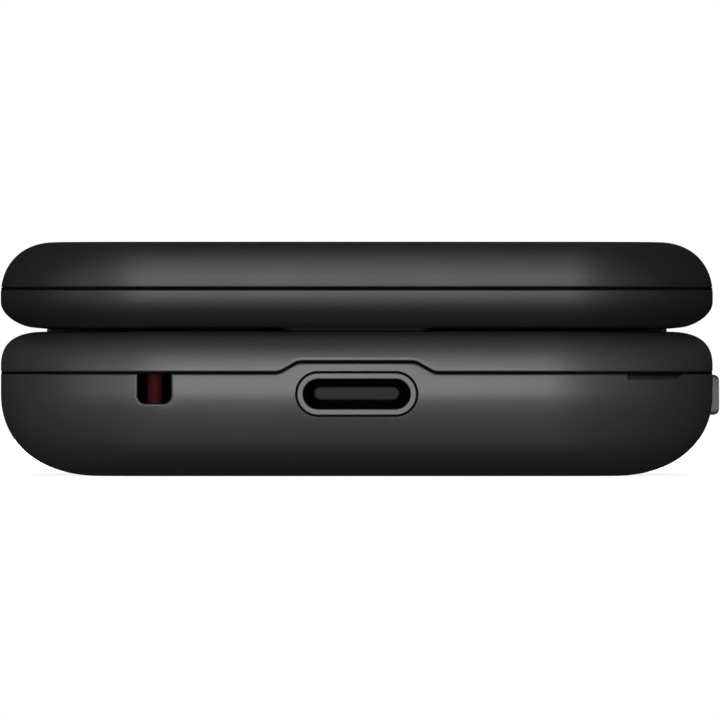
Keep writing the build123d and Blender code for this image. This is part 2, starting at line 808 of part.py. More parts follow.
def sim_socket():
    bottom = well_top + fit_gap
    x, y = card_socket_place
    width, depth = card_socket_size
    side, slot_low, slot_high = card_slot
    body = slab_block((width, depth, board_z - bottom), x, y, bottom, can_corner)
    return body - bar(x - width / 2 + side, x + width / 2 - side, y - depth, y + depth / 2 - side,
                      bottom + slot_low, bottom + slot_high)


def screw(x, y, z_head, z_tip):
    """Pan-head screw that points up, with its head at the bottom."""
    head = post(screw_head_radius, x, y, z_head, z_head + screw_head)
    shank = post(screw_radius, x, y, z_head, z_tip)
    length, width, depth = screw_cross
    cross = Pos(x, y, z_head) * (Box(length, width, depth) + Box(width, length, depth))
    return one(head + shank - cross)


def housing_screws():
    tip = plate_under_z + wall / 4
    return Compound(children=[screw(x, y, screw_seat_z - screw_head, tip) for x, y in both_sides(base_screw_places)])


def rocker_profile(outer, root, inner, half_height, length):
    """Bar along Y with a bevelled outer face, as the key that stands out of the side."""
    bevel_x, bevel_z = rocker_chamfer
    corners = ((inner, -half_height), (root, -half_height), (outer, -half_height + bevel_z),
               (outer, half_height - bevel_z), (root, half_height), (inner, half_height))
    outline = Polyline(*[(x, rocker_y, rocker_z + z) for x, z in corners], close=True)
    return extrude(make_face(outline.edges()), amount=length / 2, dir=(0, 1, 0), both=True)


def volume_rocker():
    outer = half_width + rocker_proud
    inner = rocker_back
    body = rocker_profile(outer, outer - rocker_chamfer[0], inner, rocker_height / 2, rocker_length)
    body = chamfer(body.edges().filter_by(Axis.Z).group_by(Axis.X)[-1], rocker_chamfer[0] - running_gap)
    reach = rocker_length / 2 + rocker_flange
    swing = reach * sin(radians(rocker_tilt))
    back = half_width - rocker_wall - swing - 2 * stack_gap
    flange = bar(inner, back, rocker_y - reach, rocker_y + reach, rocker_z - rocker_height / 2,
                 rocker_z + rocker_height / 2)
    return body + flange


def volume_switch():
    """Side switch board with its two domes and the nub that the rocker turns on."""
    thickness, length = switch_board
    radius, height, offset = switch_dome
    back = switch_face - height
    body = bar(back - thickness, back, rocker_y - length / 2, rocker_y + length / 2, rocker_z - rocker_height / 2,
               board_z)
    root = back - thickness / 2
    for side in (-1, 1):
        body += rod(radius, root, switch_face, rocker_y + side * offset, rocker_z)
    nub_length, nub_height, nub_gap = rocker_nub
    body += bar(root, rocker_back - nub_gap, rocker_y - nub_length / 2, rocker_y + nub_length / 2,
                rocker_z - nub_height / 2, rocker_z + nub_height / 2)
    return body


# ---------------------------------------------------------------- hinge
def hinge_can():
    x0 = -middle_half + fit_gap
    x1 = -middle_half + can_length
    body = rod(can_radius, x0, x1) & above(hinge_z - can_flat)
    body -= rod(cam_radius + cam_gap, -far, x1 - can_end_wall)
    return body - rod(shaft_radius + running_gap, -far, far)


def hinge_follower():
    x0 = -middle_half + fit_gap + cam_thickness + cam_ridge + cam_clearance
    x1 = x0 + follower_thickness
    body = rod(cam_radius, x0, x1) - rod(shaft_radius + running_gap, -far, far)
    return body


def hinge_spring():
    x0 = -middle_half + 2 * fit_gap + cam_thickness + cam_ridge + follower_thickness + cam_clearance
    x1 = -middle_half + can_length - can_end_wall - running_gap
    radius = cam_radius - spring_wire / 2 - 3 * running_gap
    length = x1 - x0 - spring_wire
    path = Helix(length / spring_turns, length, radius)
    wire = sweep(Plane(path @ 0, z_dir=path % 0) * Circle(spring_wire / 2), path)
    return Pos(x0 + spring_wire / 2, hinge_y, hinge_z) * Rot(0, 90, 0) * wire


def hinge_shaft():
    x1 = -middle_half + can_length
    x0 = -middle_half + fit_gap
    head_x = x1 + cam_gap
    body = rod(shaft_radius, x0, head_x + shaft_head / 2)
    body += rod(shaft_radius + shaft_head, head_x, head_x + shaft_head)
    body += rod(cam_radius, x0, x0 + cam_thickness)
    for side in (-1, 1):
        y = hinge_y + side * (cam_radius + shaft_radius) / 2
        body += rod(cam_ridge_radius, x0, x0 + cam_thickness + cam_ridge, y, hinge_z)
    width, height = tip_section
    body += bar(-middle_half - tip_length, x0 + 0.2, hinge_y - width / 2, hinge_y + width / 2,
                hinge_z - height / 2, hinge_z + height / 2)
    return body


def hinge_bush():
    x0 = middle_half - bush_reach
    x1 = middle_half + bush_reach
    return rod(bush_radius, x0, x1) - rod(bush_radius - bush_wall, -far, far)


def hinge_flex():
    """Ribbon rolled up inside the bush, with its tail down to the main board."""
    roll_end = middle_half + bush_reach + flex_slit
    x0 = middle_half - bush_reach - flex_width
    x1 = x0 + flex_width - 3 * fit_gap
    roll = rod(flex_roll_radius, x0, roll_end) - rod(flex_roll_radius - flex_thickness, -far, far)
    roll -= bar(-far, far, hinge_y - flex_slit / 2, hinge_y + flex_slit / 2, hinge_z, far)
    level = hinge_z - flex_roll_radius
    y0 = hinge_y - barrel_shield - wall - flex_lead
    tail = bar(x0, x1, y0, hinge_y, level, level + flex_thickness)
    drop = bar(x0, x1, y0, y0 + flex_thickness, board_top, level + flex_thickness)
    return roll + tail + drop


# ---------------------------------------------------------------- lid half
def lid_cavity():
    return lid_form(lid_wall) - rod(barrel_shield, -far, far)


def lid_lip_room(grow):
    """Tongue of the bezel behind the lid's seam."""
    inset = lid_wall - lip_thickness - grow
    ring = lid_form(inset) - lid_form(lid_wall)
    ring &= bar(-far, far, -far, hinge_y - barrel_shield, lid_seam_z - lip_height, lid_seam_z + lip_height + grow)
    return ring


def lid_bezel():
    body = (lid_form(0) - lid_cavity()) & below(lid_seam_z - seam_gap / 2)
    body += lid_lip_room(0)
    half_x = window_size[0] / 2
    body -= pill(0, window_y, 2 * half_x + 2 * fit_gap, window_size[1] + 2 * fit_gap, window_corner + fit_gap, 0,
                 lid_bottom + window_setback + window_thickness)
    opening = (window_size[0] - 2 * window_ledge, window_size[1] - 2 * window_ledge)
    body -= pill(0, window_y, opening[0], opening[1], window_corner - 1, 0, lid_floor + 1)
    root = lid_floor - lid_wall / 3
    for x, y in both_sides(lid_screw_places):
        body += post(screw_head_radius + nest_wall, x, y, root, lid_seam_z - seam_gap / 2)
        body -= post(screw_radius + fit_gap, x, y, 0, far)
        body -= post(cap_radius + fit_gap / 2, x, y, 0, lid_bottom + cap_depth + fit_gap / 2)
        body -= post(screw_head_radius + fit_gap, x, y, 0, lid_screw_seat)
    count, width, height, pitch = earpiece_slots
    for index in range(count):
        body -= pill((index - (count - 1) / 2) * pitch, earpiece_y, width, height, height * 0.48, 0, lid_floor + 1)
    body -= pill(0, bumper_y, bumper_size[0] + fit_gap, bumper_size[1] + fit_gap, bumper_size[1] / 2, 0,
                 lid_bottom + bumper_depth)
    # walls that locate the camera, the motor and the earpiece
    camera_nest = (camera_size[0] + 2 * fit_gap, camera_size[1] + 2 * fit_gap)
    nest = pill(0, camera_y, camera_nest[0] + 2 * nest_wall, camera_nest[1] + 2 * nest_wall, nest_wall, root,
                lid_floor + nest_height)
    body += nest - pill(0, camera_y, camera_nest[0], camera_nest[1], nest_wall / 2, lid_floor, far)
    motor_x, motor_y = motor_place
    ring = post(motor_radius + nest_wall + fit_gap, motor_x, motor_y, root, lid_floor + nest_height)
    body += ring - post(motor_radius + fit_gap, motor_x, motor_y, lid_floor, far)
    # knuckles
    knuckles = rod(barrel_radius, middle_half + knuckle_gap, barrel_half)
    knuckles += rod(barrel_radius, -barrel_half, -middle_half - knuckle_gap)
    body += knuckles
    body -= middle_knuckle_room(barrel_room)
    width, height = tip_section
    body -= bar(-middle_half - tip_length - fit_gap, 0, hinge_y - width / 2, hinge_y + width / 2,
                hinge_z - height / 2, hinge_z + height / 2)
    body -= rod(bush_radius, 0, middle_half + bush_reach)
    body -= lid_flex_passage()
    return body


def lid_flex_passage():
    """Way for the ribbon out of the outer knuckle into the lid."""
    x0 = middle_half + bush_reach
    x1 = x0 + lid_ribbon_width + 6 * fit_gap
    radius = flex_roll_radius + 2 * fit_gap
    hole = rod(radius, x0 - fit_gap, x1)
    low = hinge_z + 2 * fit_gap
    chute = bar(x0, x1, hinge_y - barrel_shield - wall, hinge_y, low, low + 1.25 * radius)
    return hole + chute


def lid_cover():
    body = (lid_form(0) - lid_cavity()) & above(lid_seam_z + seam_gap / 2)
    body -= lid_lip_room(fit_gap / 2)
    body -= middle_knuckle_room(barrel_room)
    body -= side_knuckle_room(barrel_radius + fit_gap)
    recess_z = lid_roof + pane_seat
    width, depth = sub_window_size
    body -= pill(0, sub_window_y, width + 2 * fit_gap, depth + 2 * fit_gap, sub_window_corner + fit_gap,
                 recess_z, far)
    body -= pill(0, sub_window_y, width - 2 * window_ledge, depth - 2 * window_ledge, sub_window_corner - 1,
                 0, far)
    body -= post(lens_window_radius + fit_gap, 0, camera_y, recess_z, far)
    body -= post(lens_window_radius - 1, 0, camera_y, 0, far)
    body -= post(flash_radius + fit_gap, flash_x, camera_y, 0, far)
    for x, y in both_sides(lid_screw_places):
        body += post(boss_radius, x, y, lid_seam_z - seam_gap / 2 + fit_gap, lid_roof + lid_wall / 4)
        body -= post(screw_radius, x, y, 0, lid_roof - lid_wall / 4)
    return body


def main_window():
    body = pill(0, window_y, window_size[0], window_size[1], window_corner, lid_bottom + window_setback,
                lid_bottom + window_setback + window_thickness)
    return chamfer(body.edges().group_by(Axis.Z)[0], window_bevel)


def main_display():
    return slab_block(display_size, 0, window_y, display_z, 0.8)


def lid_frame():
    """Stamped plate between the two displays."""
    y0 = window_y - display_size[1] / 2 + 0.5
    y1 = window_y + display_size[1] / 2 + 0.8
    body = bar(-frame_half_width, frame_half_width, y0, y1, frame_z, frame_z + frame_thickness)
    for x, y in both_sides(lid_screw_places):
        body -= post(screw_head_radius + 2 * nest_wall, x, y, 0, far)
    width, depth, distance, rows = frame_holes
    for x, y in both_sides([(distance, row) for row in rows]):
        body -= pill(x, y, width, depth, 1.0, 0, far)
    return body


def lid_board():
    """Rigid-flex board with the ribbon that goes to the hinge."""
    y0 = window_y - display_size[1] / 2 + 1.5
    y1 = window_y + display_size[1] / 2
    z0, z1 = lid_board_z, lid_board_z + lid_board_thickness
    body = pill(0, (y0 + y1) / 2, lid_board_width, y1 - y0, 2.0, z0, z1)
    half = lid_ribbon_width / 2
    tail_x = middle_half + bush_reach + half + 3 * fit_gap
    root_x = tail_x - 5 * half
    tail_y = hinge_y - barrel_shield - wall / 2
    level = hinge_z + 1.0
    top = z0 + flex_thickness
    body += bar(root_x - half, root_x + half, y1 - 2 * lid_ribbon_width, tail_y, z0, top)
    body += bar(root_x - half, tail_x + half, tail_y - lid_ribbon_width, tail_y, z0, top)
    body += bar(tail_x - half, tail_x + half, tail_y - flex_thickness, tail_y, level, top)
    body += bar(tail_x - half, tail_x + half, tail_y - flex_thickness, hinge_y - 2 * fit_gap, level,
                level + flex_thickness)
    return body


def sub_display():
    return slab_block(sub_display_size, 0, sub_window_y, sub_display_z, 0.6)


def sub_window():
    z = lid_roof + pane_seat
    body = pill(0, sub_window_y, sub_window_size[0], sub_window_size[1], sub_window_corner, z, lid_top)
    return chamfer(body.edges().group_by(Axis.Z)[-1], window_bevel)


def camera_module():
    z = lid_floor + fit_gap / 2
    width, depth, height = camera_size
    body = slab_block((width, depth, camera_body_height), 0, camera_y, z, 0.4)
    body += post(camera_barrel_radius, 0, camera_y, z + camera_body_height / 2, z + height)
    return body - upright_cone(1.0, 2.2, 0, camera_y, z + height - 0.6, z + height + 0.1)


def camera_window():
    z = lid_roof + pane_seat
    body = post(lens_window_radius, 0, camera_y, z, lid_top)
    return chamfer(body.edges().group_by(Axis.Z)[-1], window_bevel)


def flash_lens():
    body = post(flash_radius, flash_x, camera_y, lid_roof - lid_wall / 2, lid_top)
    return chamfer(body.edges().group_by(Axis.Z)[-1], window_bevel)


def earpiece():
    body = slab_block(earpiece_size, 0, earpiece_y, lid_floor + fit_gap / 2, 2.0)
    return chamfer(body.edges().group_by(Axis.Z)[-1], metal_edge)


def vibration_motor():
    x, y = motor_place
    body = post(motor_radius, x, y, lid_floor + fit_gap / 2, lid_floor + fit_gap / 2 + motor_thickness)
    return fillet(body.edges().group_by(Axis.Z)[-1], metal_edge)


def lid_bumper():
    body = pill(0, bumper_y, bumper_size[0], bumper_size[1], bumper_size[1] / 2 - 0.05, base_height + bumper_gap,
                lid_bottom + bumper_depth)
    return fillet(body.edges().group_by(Axis.Z)[0], window_bevel)


def lid_screws():
    tip = lid_roof - lid_wall / 4
    return Compound(children=[screw(x, y, lid_screw_seat - screw_head, tip)
                              for x, y in both_sides(lid_screw_places)])


def lid_screw_caps():
    return Compound(children=[one(post(cap_radius, x, y, lid_bottom, lid_bottom + cap_depth))
                              for x, y in both_sides(lid_screw_places)])


# ---------------------------------------------------------------- assembly
makers = (keypad_housing, rear_chassis, battery_cover, battery, main_board, dome_sheet, keypad_mat, nav_key, ok_key,
          shield_cans, usb_ring, usb_shell, usb_tongue, audio_jack, strap_post, loudspeaker, battery_connector,
          sim_socket, housing_screws, volume_rocker, volume_switch, hinge_can, hinge_follower, hinge_spring,
          hinge_shaft, hinge_bush, hinge_flex, lid_bezel, lid_cover, main_window, main_display, lid_frame, lid_board,
          sub_display, sub_window, camera_module, camera_window, flash_lens, earpiece, vibration_motor, lid_bumper,
          lid_screws, lid_screw_caps)

for maker in makers:
    keep(maker.__name__, maker())
for name, x, y, width, depth in key_places():
    keep(name, push_key(x, y, width, depth))

for name, shape in pieces.items():
    export_step(one(shape), f"parts/{name}.step")
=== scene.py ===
"""Folding mobile phone, closed: the visible surfaces and finishes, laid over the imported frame.

Lengths are in millimetres until a mesh is made; X is the width, Y runs from the charging port
(-Y) to the hinge (+Y), Z is up from the surface that the phone lies on.
"""
import bpy
import bmesh
from math import cos, pi, radians, sin
import numpy as np
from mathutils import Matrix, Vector


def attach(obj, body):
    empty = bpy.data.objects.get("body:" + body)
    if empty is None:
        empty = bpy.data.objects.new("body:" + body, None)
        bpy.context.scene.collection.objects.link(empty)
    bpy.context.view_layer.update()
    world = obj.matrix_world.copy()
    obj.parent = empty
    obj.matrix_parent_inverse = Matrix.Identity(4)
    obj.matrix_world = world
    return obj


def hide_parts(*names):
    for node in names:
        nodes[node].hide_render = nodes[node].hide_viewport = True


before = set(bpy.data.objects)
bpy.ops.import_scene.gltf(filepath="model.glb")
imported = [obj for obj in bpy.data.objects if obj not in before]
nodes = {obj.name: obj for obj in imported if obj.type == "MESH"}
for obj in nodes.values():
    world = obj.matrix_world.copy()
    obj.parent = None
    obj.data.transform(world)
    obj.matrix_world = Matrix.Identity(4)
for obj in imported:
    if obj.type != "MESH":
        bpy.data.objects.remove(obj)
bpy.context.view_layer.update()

# ---------------------------------------------------------------- sizes shared with the solids
MM = 0.001
half_width = 27.5             # the body is 55 mm wide
front_y, back_y = -54.0, 50.3
front_radius, back_radius = 13.0, 8.2
lid_front_radius = 11.0       # the lid's port-end corners are a little tighter
end_bow = 0.0027              # the port end bows: it falls back by this times x squared
base_top = 11.15
lid_bottom, lid_top = 11.45, 18.05
base_seam, lid_seam = 7.97, 14.46
seam_half = 0.085             # half of the open line between two shells
hinge_y, hinge_z = 49.3, 11.3
barrel_radius, barrel_half, middle_half = 4.7, 24.75, 14.1
rim_round = 0.12              # softened shell edges
sharp_angle = 38              # degrees past which an edge stays sharp
weld, sliver = 0.002, 0.0001  # points closer than the first become one; shorter edges than the second go
curve_rows, upright_rows, flat_step = 26, 4, 0.4       # rows of a skin, and how far its flat face's row lies inside

# Edge roundings: inward reach, height, fullness where the curve leaves the side and where it meets
# the flat face. The first is used along the sides and the hinge end, the second at the port end.
base_low_edge = (7.6, 6.3, 0.60, 0.60)
base_high_edge = ((3.4, 2.6, 0.60, 0.75), (3.47, 4.22, 0.94, 0.59))
lid_low_edge = ((2.7, 2.0, 0.55, 0.40), (1.95, 3.1, 0.78, 0.10))
lid_high_edge = ((4.2, 4.1, 0.60, 0.60), (1.26, 2.57, 0.11, 0.77))
# Section of the underside at the port end, from the side inward: control points of two cubics
under_slope = ((0.0, 6.63), (0.0, 5.34), (1.44, 2.77), (1.67, 2.50), (1.86, 2.28), (2.89, 0.0), (12.5, 0.0))
under_limit, under_squeeze = 9.0, 0.62       # beyond this reach the underside's curve is drawn in by this factor


# ---------------------------------------------------------------- mesh helpers
def in_scene(name, data):
    """New object that holds some data, in the scene."""
    thing = bpy.data.objects.new(name, data)
    bpy.context.scene.collection.objects.link(thing)
    return thing


def new_object(name, vertices, faces, body, material, slot, smooth=sharp_angle, turn_out=True):
    """Object from points in millimetres; faces point outwards and sharp edges stay sharp."""
    mesh = bpy.data.meshes.new(name)
    mesh.from_pydata([tuple(v) for v in np.asarray(vertices) * MM], [], [tuple(f) for f in faces])
    work = bmesh.new()
    work.from_mesh(mesh)
    bmesh.ops.remove_doubles(work, verts=work.verts, dist=weld * MM)
    bmesh.ops.dissolve_degenerate(work, edges=work.edges, dist=sliver * MM)
    if turn_out:
        bmesh.ops.recalc_face_normals(work, faces=work.faces)
    work.to_mesh(mesh)
    work.free()
    shade(mesh, smooth)
    thing = in_scene(name, mesh)
    mesh.materials.append(material)
    if body:
        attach(thing, body)
    return thing


def shade(mesh, angle):
    """Smooth shading that breaks at edges sharper than angle."""
    mesh.polygons.foreach_set("use_smooth", [True] * len(mesh.polygons))
    mesh.set_sharp_from_angle(angle=radians(angle))


def grid_faces(rows, columns, close_rows=False, close_columns=False):
    """Quads of a rows x columns grid of points, numbered row by row."""
    r = np.arange(rows if close_rows else rows - 1)[:, None]
    c = np.arange(columns if close_columns else columns - 1)[None, :]
    r2, c2 = (r + 1) % rows, (c + 1) % columns
    corners = (r * columns + c, r * columns + c2, r2 * columns + c2, r2 * columns + c)
    return np.stack(np.broadcast_arrays(*corners), -1).reshape(-1, 4).tolist()


def loft(rings, caps=True):
    """Points and faces through closed rings of equal length, the first and last capped."""
    rings = np.asarray(rings, float)
    count, size, _ = rings.shape
    faces = grid_faces(count, size, close_columns=True)
    if caps:
        faces += [list(range(size))[::-1], [(count - 1) * size + i for i in range(size)]]
    return rings.reshape(-1, 3), faces


def join(parts):
    """One list of points and faces from several."""
    points, faces, start = [], [], 0
    for p, f in parts:
        points.append(np.asarray(p, float))
        faces += [[i + start for i in face] for face in f]
        start += len(p)
    return np.concatenate(points), faces


def rounded_rectangle(width, depth, radius, x=0.0, y=0.0, steps=8):
    """Closed outline of a rectangle whose corners are quarter circles."""
    radius = min(radius, width / 2 - 1e-3, depth / 2 - 1e-3)
    a = np.linspace(0, pi / 2, steps)
    corners = []
    for k, (sx, sy) in enumerate(((1, 1), (-1, 1), (-1, -1), (1, -1))):
        angle = a + k * pi / 2
        corners.append(np.stack([sx * (width / 2 - radius) + radius * np.cos(angle),
                                 sy * (depth / 2 - radius) + radius * np.sin(angle)], -1))
    return np.concatenate(corners) + (x, y)


def circle(radius, x, y, steps=48):
    """Closed outline at one distance from (x, y), at even angles."""
    a = np.linspace(0, 2 * pi, steps, endpoint=False)
    return np.stack([x + radius * np.cos(a), y + radius * np.sin(a)], -1)


def at_height(outline, z):
    """Plan outline lifted to a height."""
    return np.column_stack([outline, np.full(len(outline), float(z))])


def layered(width, depth, radius, x, y, rows, steps=8):
    """Form over rounded rectangles, from rows of (inset, height); the corner radius shrinks by the
    inset, but not below 0.5 mm."""
    smallest = min(radius, 0.5)
    return loft([at_height(rounded_rectangle(width - 2 * inset, depth - 2 * inset, max(radius - inset, smallest),
                                             x, y, steps), z) for inset, z in rows])


def turned_piece(name, profile, x, y, body, material, slot, steps=72, smooth=40):
    """Piece turned about an upright axis at (x, y), from a profile of (radius, height) pairs."""
    rings = [at_height(circle(radius, x, y, steps), z) for radius, z in profile]
    return new_object(name, *loft(rings, caps=False), body, material, slot, smooth)


def helper(name, form, like):
    """Closed form that is only used to change another piece, whose material it takes."""
    return new_object(name, *form, None, like.data.materials[0], None)


def combine(thing, other, operation):
    """Cuts, adds or intersects a piece exactly with another object, which is used up."""
    change = thing.modifiers.new("change", "BOOLEAN")
    change.operation, change.solver, change.object = operation, "EXACT", other
    apply_modifiers(thing)
    bpy.data.objects.remove(other)


def carve(thing, parts):
    """Cuts closed forms, given as points and faces, out of a piece."""
    combine(thing, helper("cutter", join(parts), thing), "DIFFERENCE")


def add_to(thing, parts):
    """Joins closed forms, given as points and faces, onto a piece."""
    combine(thing, helper("added", join(parts), thing), "UNION")


def prism(outline, z0, z1):
    """Upright form over a closed plan outline."""
    return loft([at_height(outline, z0), at_height(outline, z1)])


def copy_of(node, name, body, material, slot, reshape):
    """A CAD solid's own mesh, merged, as a piece that can be shaped and shaded."""
    mesh = nodes[node].data
    points = np.empty(len(mesh.vertices) * 3)
    mesh.vertices.foreach_get("co", points)
    corners = np.empty(len(mesh.loops), int)
    mesh.loops.foreach_get("vertex_index", corners)
    points = reshape(points.reshape(-1, 3) / MM)
    return new_object(name, points, corners.reshape(-1, 3).tolist(), body, material, slot, turn_out=False)


def even_normals(*things):
    """Lets large faces lead the shading, so that small ones beside a cut don't smear across them, and
    gives every corner of a level face the face's own normal."""
    for thing in things:
        weigh = thing.modifiers.new("weigh", "WEIGHTED_NORMAL")
        weigh.keep_sharp = True
        apply_modifiers(thing, None)
        mesh = thing.data
        own, size = np.empty(len(mesh.polygons) * 3), np.empty(len(mesh.polygons), int)
        mesh.polygons.foreach_get("normal", own)
        mesh.polygons.foreach_get("loop_total", size)
        corner = np.empty(len(mesh.loops) * 3)
        mesh.corner_normals.foreach_get("vector", corner)
        own, corner = np.repeat(own.reshape(-1, 3), size, 0), corner.reshape(-1, 3)
        level = np.abs(own[:, 2]) > 1 - 1e-6
        corner[level] = own[level]
        mesh.normals_split_custom_set(corner)


def apply_modifiers(thing, sharp=sharp_angle):
    """Turns the evaluated piece into its own mesh."""
    graph = bpy.context.evaluated_depsgraph_get()
    mesh = bpy.data.meshes.new_from_object(thing.evaluated_get(graph))
    thing.modifiers.clear()
    old = thing.data
    thing.data = mesh
    mesh.name = thing.name
    bpy.data.meshes.remove(old)
    if sharp:
        shade(mesh, sharp)


# ---------------------------------------------------------------- materials
def linear(code):
    """sRGB hex colour as linear RGBA."""
    values = [int(code[i:i + 2], 16) / 255 for i in (1, 3, 5)]
    return [v / 12.92 if v <= 0.04045 else ((v + 0.055) / 1.055) ** 2.4 for v in values] + [1.0]


def add(tree, kind, settings=None, **links):
    """A node of a kind; settings sets its properties or sockets, links joins sockets to other outputs.
    A link called i and a number means the socket with that number."""
    node = tree.nodes.new(kind)
    for key, value in (settings or {}).items():
        if isinstance(key, str) and hasattr(node, key) and key not in node.inputs:
            setattr(node, key, value)
        else:
            node.inputs[key].default_value = value
    for key, output in links.items():
        numbered = key[0] == "i" and key[1:].isdigit()
        tree.links.new(output, node.inputs[int(key[1:]) if numbered else key.replace("_", " ")])
    return node


def blank_material(name):
    """New material and its empty node tree."""
    material = bpy.data.materials.new(name)
    material.use_nodes = True
    tree = material.node_tree
    tree.nodes.clear()
    return material, tree


def surface(tree, shader):
    """Joins a shader to the material's output."""
    add(tree, "ShaderNodeOutputMaterial", Surface=shader.outputs[0])


def blend(tree, share, first, second):
    """Colour that goes from the first to the second as share goes from 0 to 1."""
    tone = add(tree, "ShaderNodeMix", {"data_type": "RGBA"})
    tone.inputs[6].default_value, tone.inputs[7].default_value = first, second
    tree.links.new(share, tone.inputs[0])
    return tone.outputs[2]


def noise(tree, size, detail, vector, roughness=0.5):
    """Uneven pattern whose features are about size millimetres apart."""
    return add(tree, "ShaderNodeTexNoise", {"Scale": 1 / (size * MM), "Detail": detail, "Roughness": roughness},
               Vector=vector).outputs["Fac"]


def spanned(tree, value, low, high, start=0.0, stop=1.0):
    """A value that goes from start to stop, stretched to go from low to high."""
    return add(tree, "ShaderNodeMapRange", {"From Min": start, "From Max": stop, "To Min": low, "To Max": high},
               Value=value).outputs["Result"]


def moulded(name, colour, roughness, level, grain=0.12, depth=0.004, tint=0.0, coat=0.0):
    """Moulded plastic: its own colour, a fine spark-eroded grain of a size and depth in millimetres,
    and gloss and tone that change a little from place to place."""
    material, tree = blank_material(name)
    place = add(tree, "ShaderNodeTexCoord").outputs["Object"]
    fine, patchy = noise(tree, grain, 3.0, place, 0.6), noise(tree, 9, 4.0, place, 0.55)
    gloss = spanned(tree, patchy, roughness - 0.015, roughness + 0.015, 0.3, 0.7)
    paler = [min(1, c * (1.25 + tint)) for c in linear(colour)[:3]] + [1]
    tone = blend(tree, patchy, linear(colour), paler)
    bump = add(tree, "ShaderNodeBump", {"Strength": 0.5, "Distance": depth * MM}, Height=fine)
    surface(tree, add(tree, "ShaderNodeBsdfPrincipled", {"IOR": 1.5, "Specular IOR Level": level, "Coat Weight": coat,
                                                         "Coat Roughness": 0.08},
                      Base_Color=tone, Roughness=gloss, Normal=bump.outputs["Normal"]))
    return material


def metal(name, colour, roughness, grain=0.08, stretch=1.0):
    """Plated or rolled metal: scratches a grain apart, drawn out by stretch, vary its gloss."""
    material, tree = blank_material(name)
    place = add(tree, "ShaderNodeTexCoord").outputs["Object"]
    drawn = add(tree, "ShaderNodeMapping", {"Scale": (1.0, stretch, 1.0)}, Vector=place)
    fine = noise(tree, grain, 4.0, drawn.outputs["Vector"])
    gloss = spanned(tree, fine, roughness - 0.06, roughness + 0.08)
    bump = add(tree, "ShaderNodeBump", {"Strength": 0.3, "Distance": 0.002 * MM}, Height=fine)
    surface(tree, add(tree, "ShaderNodeBsdfPrincipled", {"Base Color": linear(colour), "Metallic": 1.0},
                      Roughness=gloss, Normal=bump.outputs["Normal"]))
    return material


# ABS moulded in spark-eroded tools: deep grey-black, satin, with a broad soft highlight
base_plastic = moulded("abs_satin_black", "#222223", 0.50, level=0.84)
# The lid's plastic: a shade blacker and less shiny than the base's
lid_plastic = moulded("abs_satin_deep_black", "#101012", 0.50, level=0.53)
# ABS left as it comes from the tool inside: greyer and duller
inner_plastic = moulded("abs_inner_black", "#1d1d1f", 0.60, level=0.35, grain=0.2, depth=0.008)
# Polished ABS of the port's trim: the same black with a tighter highlight
port_trim = moulded("abs_polished_trim", "#242425", 0.44, level=0.66, depth=0.002)
# Liquid crystal polymer of the tongue: very dark and dull
tongue_plastic = moulded("lcp_tongue", "#1b1b1c", 0.65, level=0.18)
# Painted shade: a near-black, dull material set in the seams, the port's gap and the strap pocket, where there is
# only shade; it swallows nearly all light
shade_black = moulded("painted_shade_black", "#060606", 0.95, level=0.02, grain=0.05, depth=0.01)
# Near-black, dull material inside the socket: painted shade in its depth
socket_shade_black = moulded("socket_painted_shade", "#060606", 0.70, level=0.05)
# Dark red dyed plastic of the strap post
post_red = moulded("pom_dark_red", "#2b0b0d", 0.60, level=0.03, tint=0.1)
# Soft rubber: dull, with a broad faint sheen
rubber = moulded("silicone_black", "#161616", 0.75, level=0.12, grain=0.08)
# Side key of harder, paler plastic
side_plastic = moulded("pc_side_key", "#2d2d30", 0.50, level=0.90, depth=0.003)
# Gold-plated spring contacts: pale yellow, nearly polished
contact_gold = metal("gold_plated_contact", "#d9b36a", 0.28)
# Painted polycarbonate of the keys: a little glossier than the housing round them
key_plastic = moulded("pc_key_black", "#151618", 0.36, level=0.45, depth=0.002)
# Screen-printed legends: chalky, slightly raised ink
white_ink = moulded("printed_ink_white", "#cfd2d3", 0.55, level=0.3, depth=0.003)
green_ink = moulded("printed_ink_green", "#35a95a", 0.55, level=0.3, depth=0.003)
red_ink = moulded("printed_ink_red", "#c23a30", 0.55, level=0.3, depth=0.003)
# Polyester film over the domes: milky grey, smooth
film = moulded("pet_film_grey", "#8d9190", 0.35, level=0.5)
# Shrink wrap of the cell: black and smooth, with a clear shine on top
black_wrap = moulded("battery_wrap_black", "#1b1c1e", 0.34, level=0.5, grain=0.4, depth=0.004, coat=0.2)
# Coated paper label and its ink: flat, with little shine
label_paper = moulded("label_stock_grey", "#b9bbba", 0.55, level=0.3)
label_ink = moulded("label_ink_black", "#161616", 0.6, level=0.2)
# Polyimide ribbon: amber brown, half glossy
polyimide = moulded("polyimide_amber", "#9a5a1e", 0.35, level=0.5)
# Drawn brass, oiled black steel and nickel-plated sheet: lines from drawing or rolling blur the shine
brass = metal("drawn_brass", "#c8a45c", 0.30, grain=0.15, stretch=5.0)
dark_steel = metal("black_oxide_steel", "#3c3d40", 0.38, grain=0.12)
steel = metal("nickel_plated_steel", "#b9b7b2", 0.30, grain=0.15, stretch=6.0)
# Lens with a blue-black anti-reflection coating, and the black paint under the ring of glass round it
coated_lens = moulded("coated_lens_glass", "#090c1e", 0.04, level=0.8, depth=0.0, tint=1.5)
black_glass = moulded("black_printed_glass", "#040405", 0.08, level=0.5, depth=0.0)
# Anodised aluminium of the lens barrel, dyed black: dull
anodised_black = moulded("anodised_black", "#0e0e10", 0.45, level=0.25, depth=0.002)
# Phosphor over the flash: flat yellow
phosphor = moulded("phosphor_yellow", "#d9c247", 0.6, level=0.3)


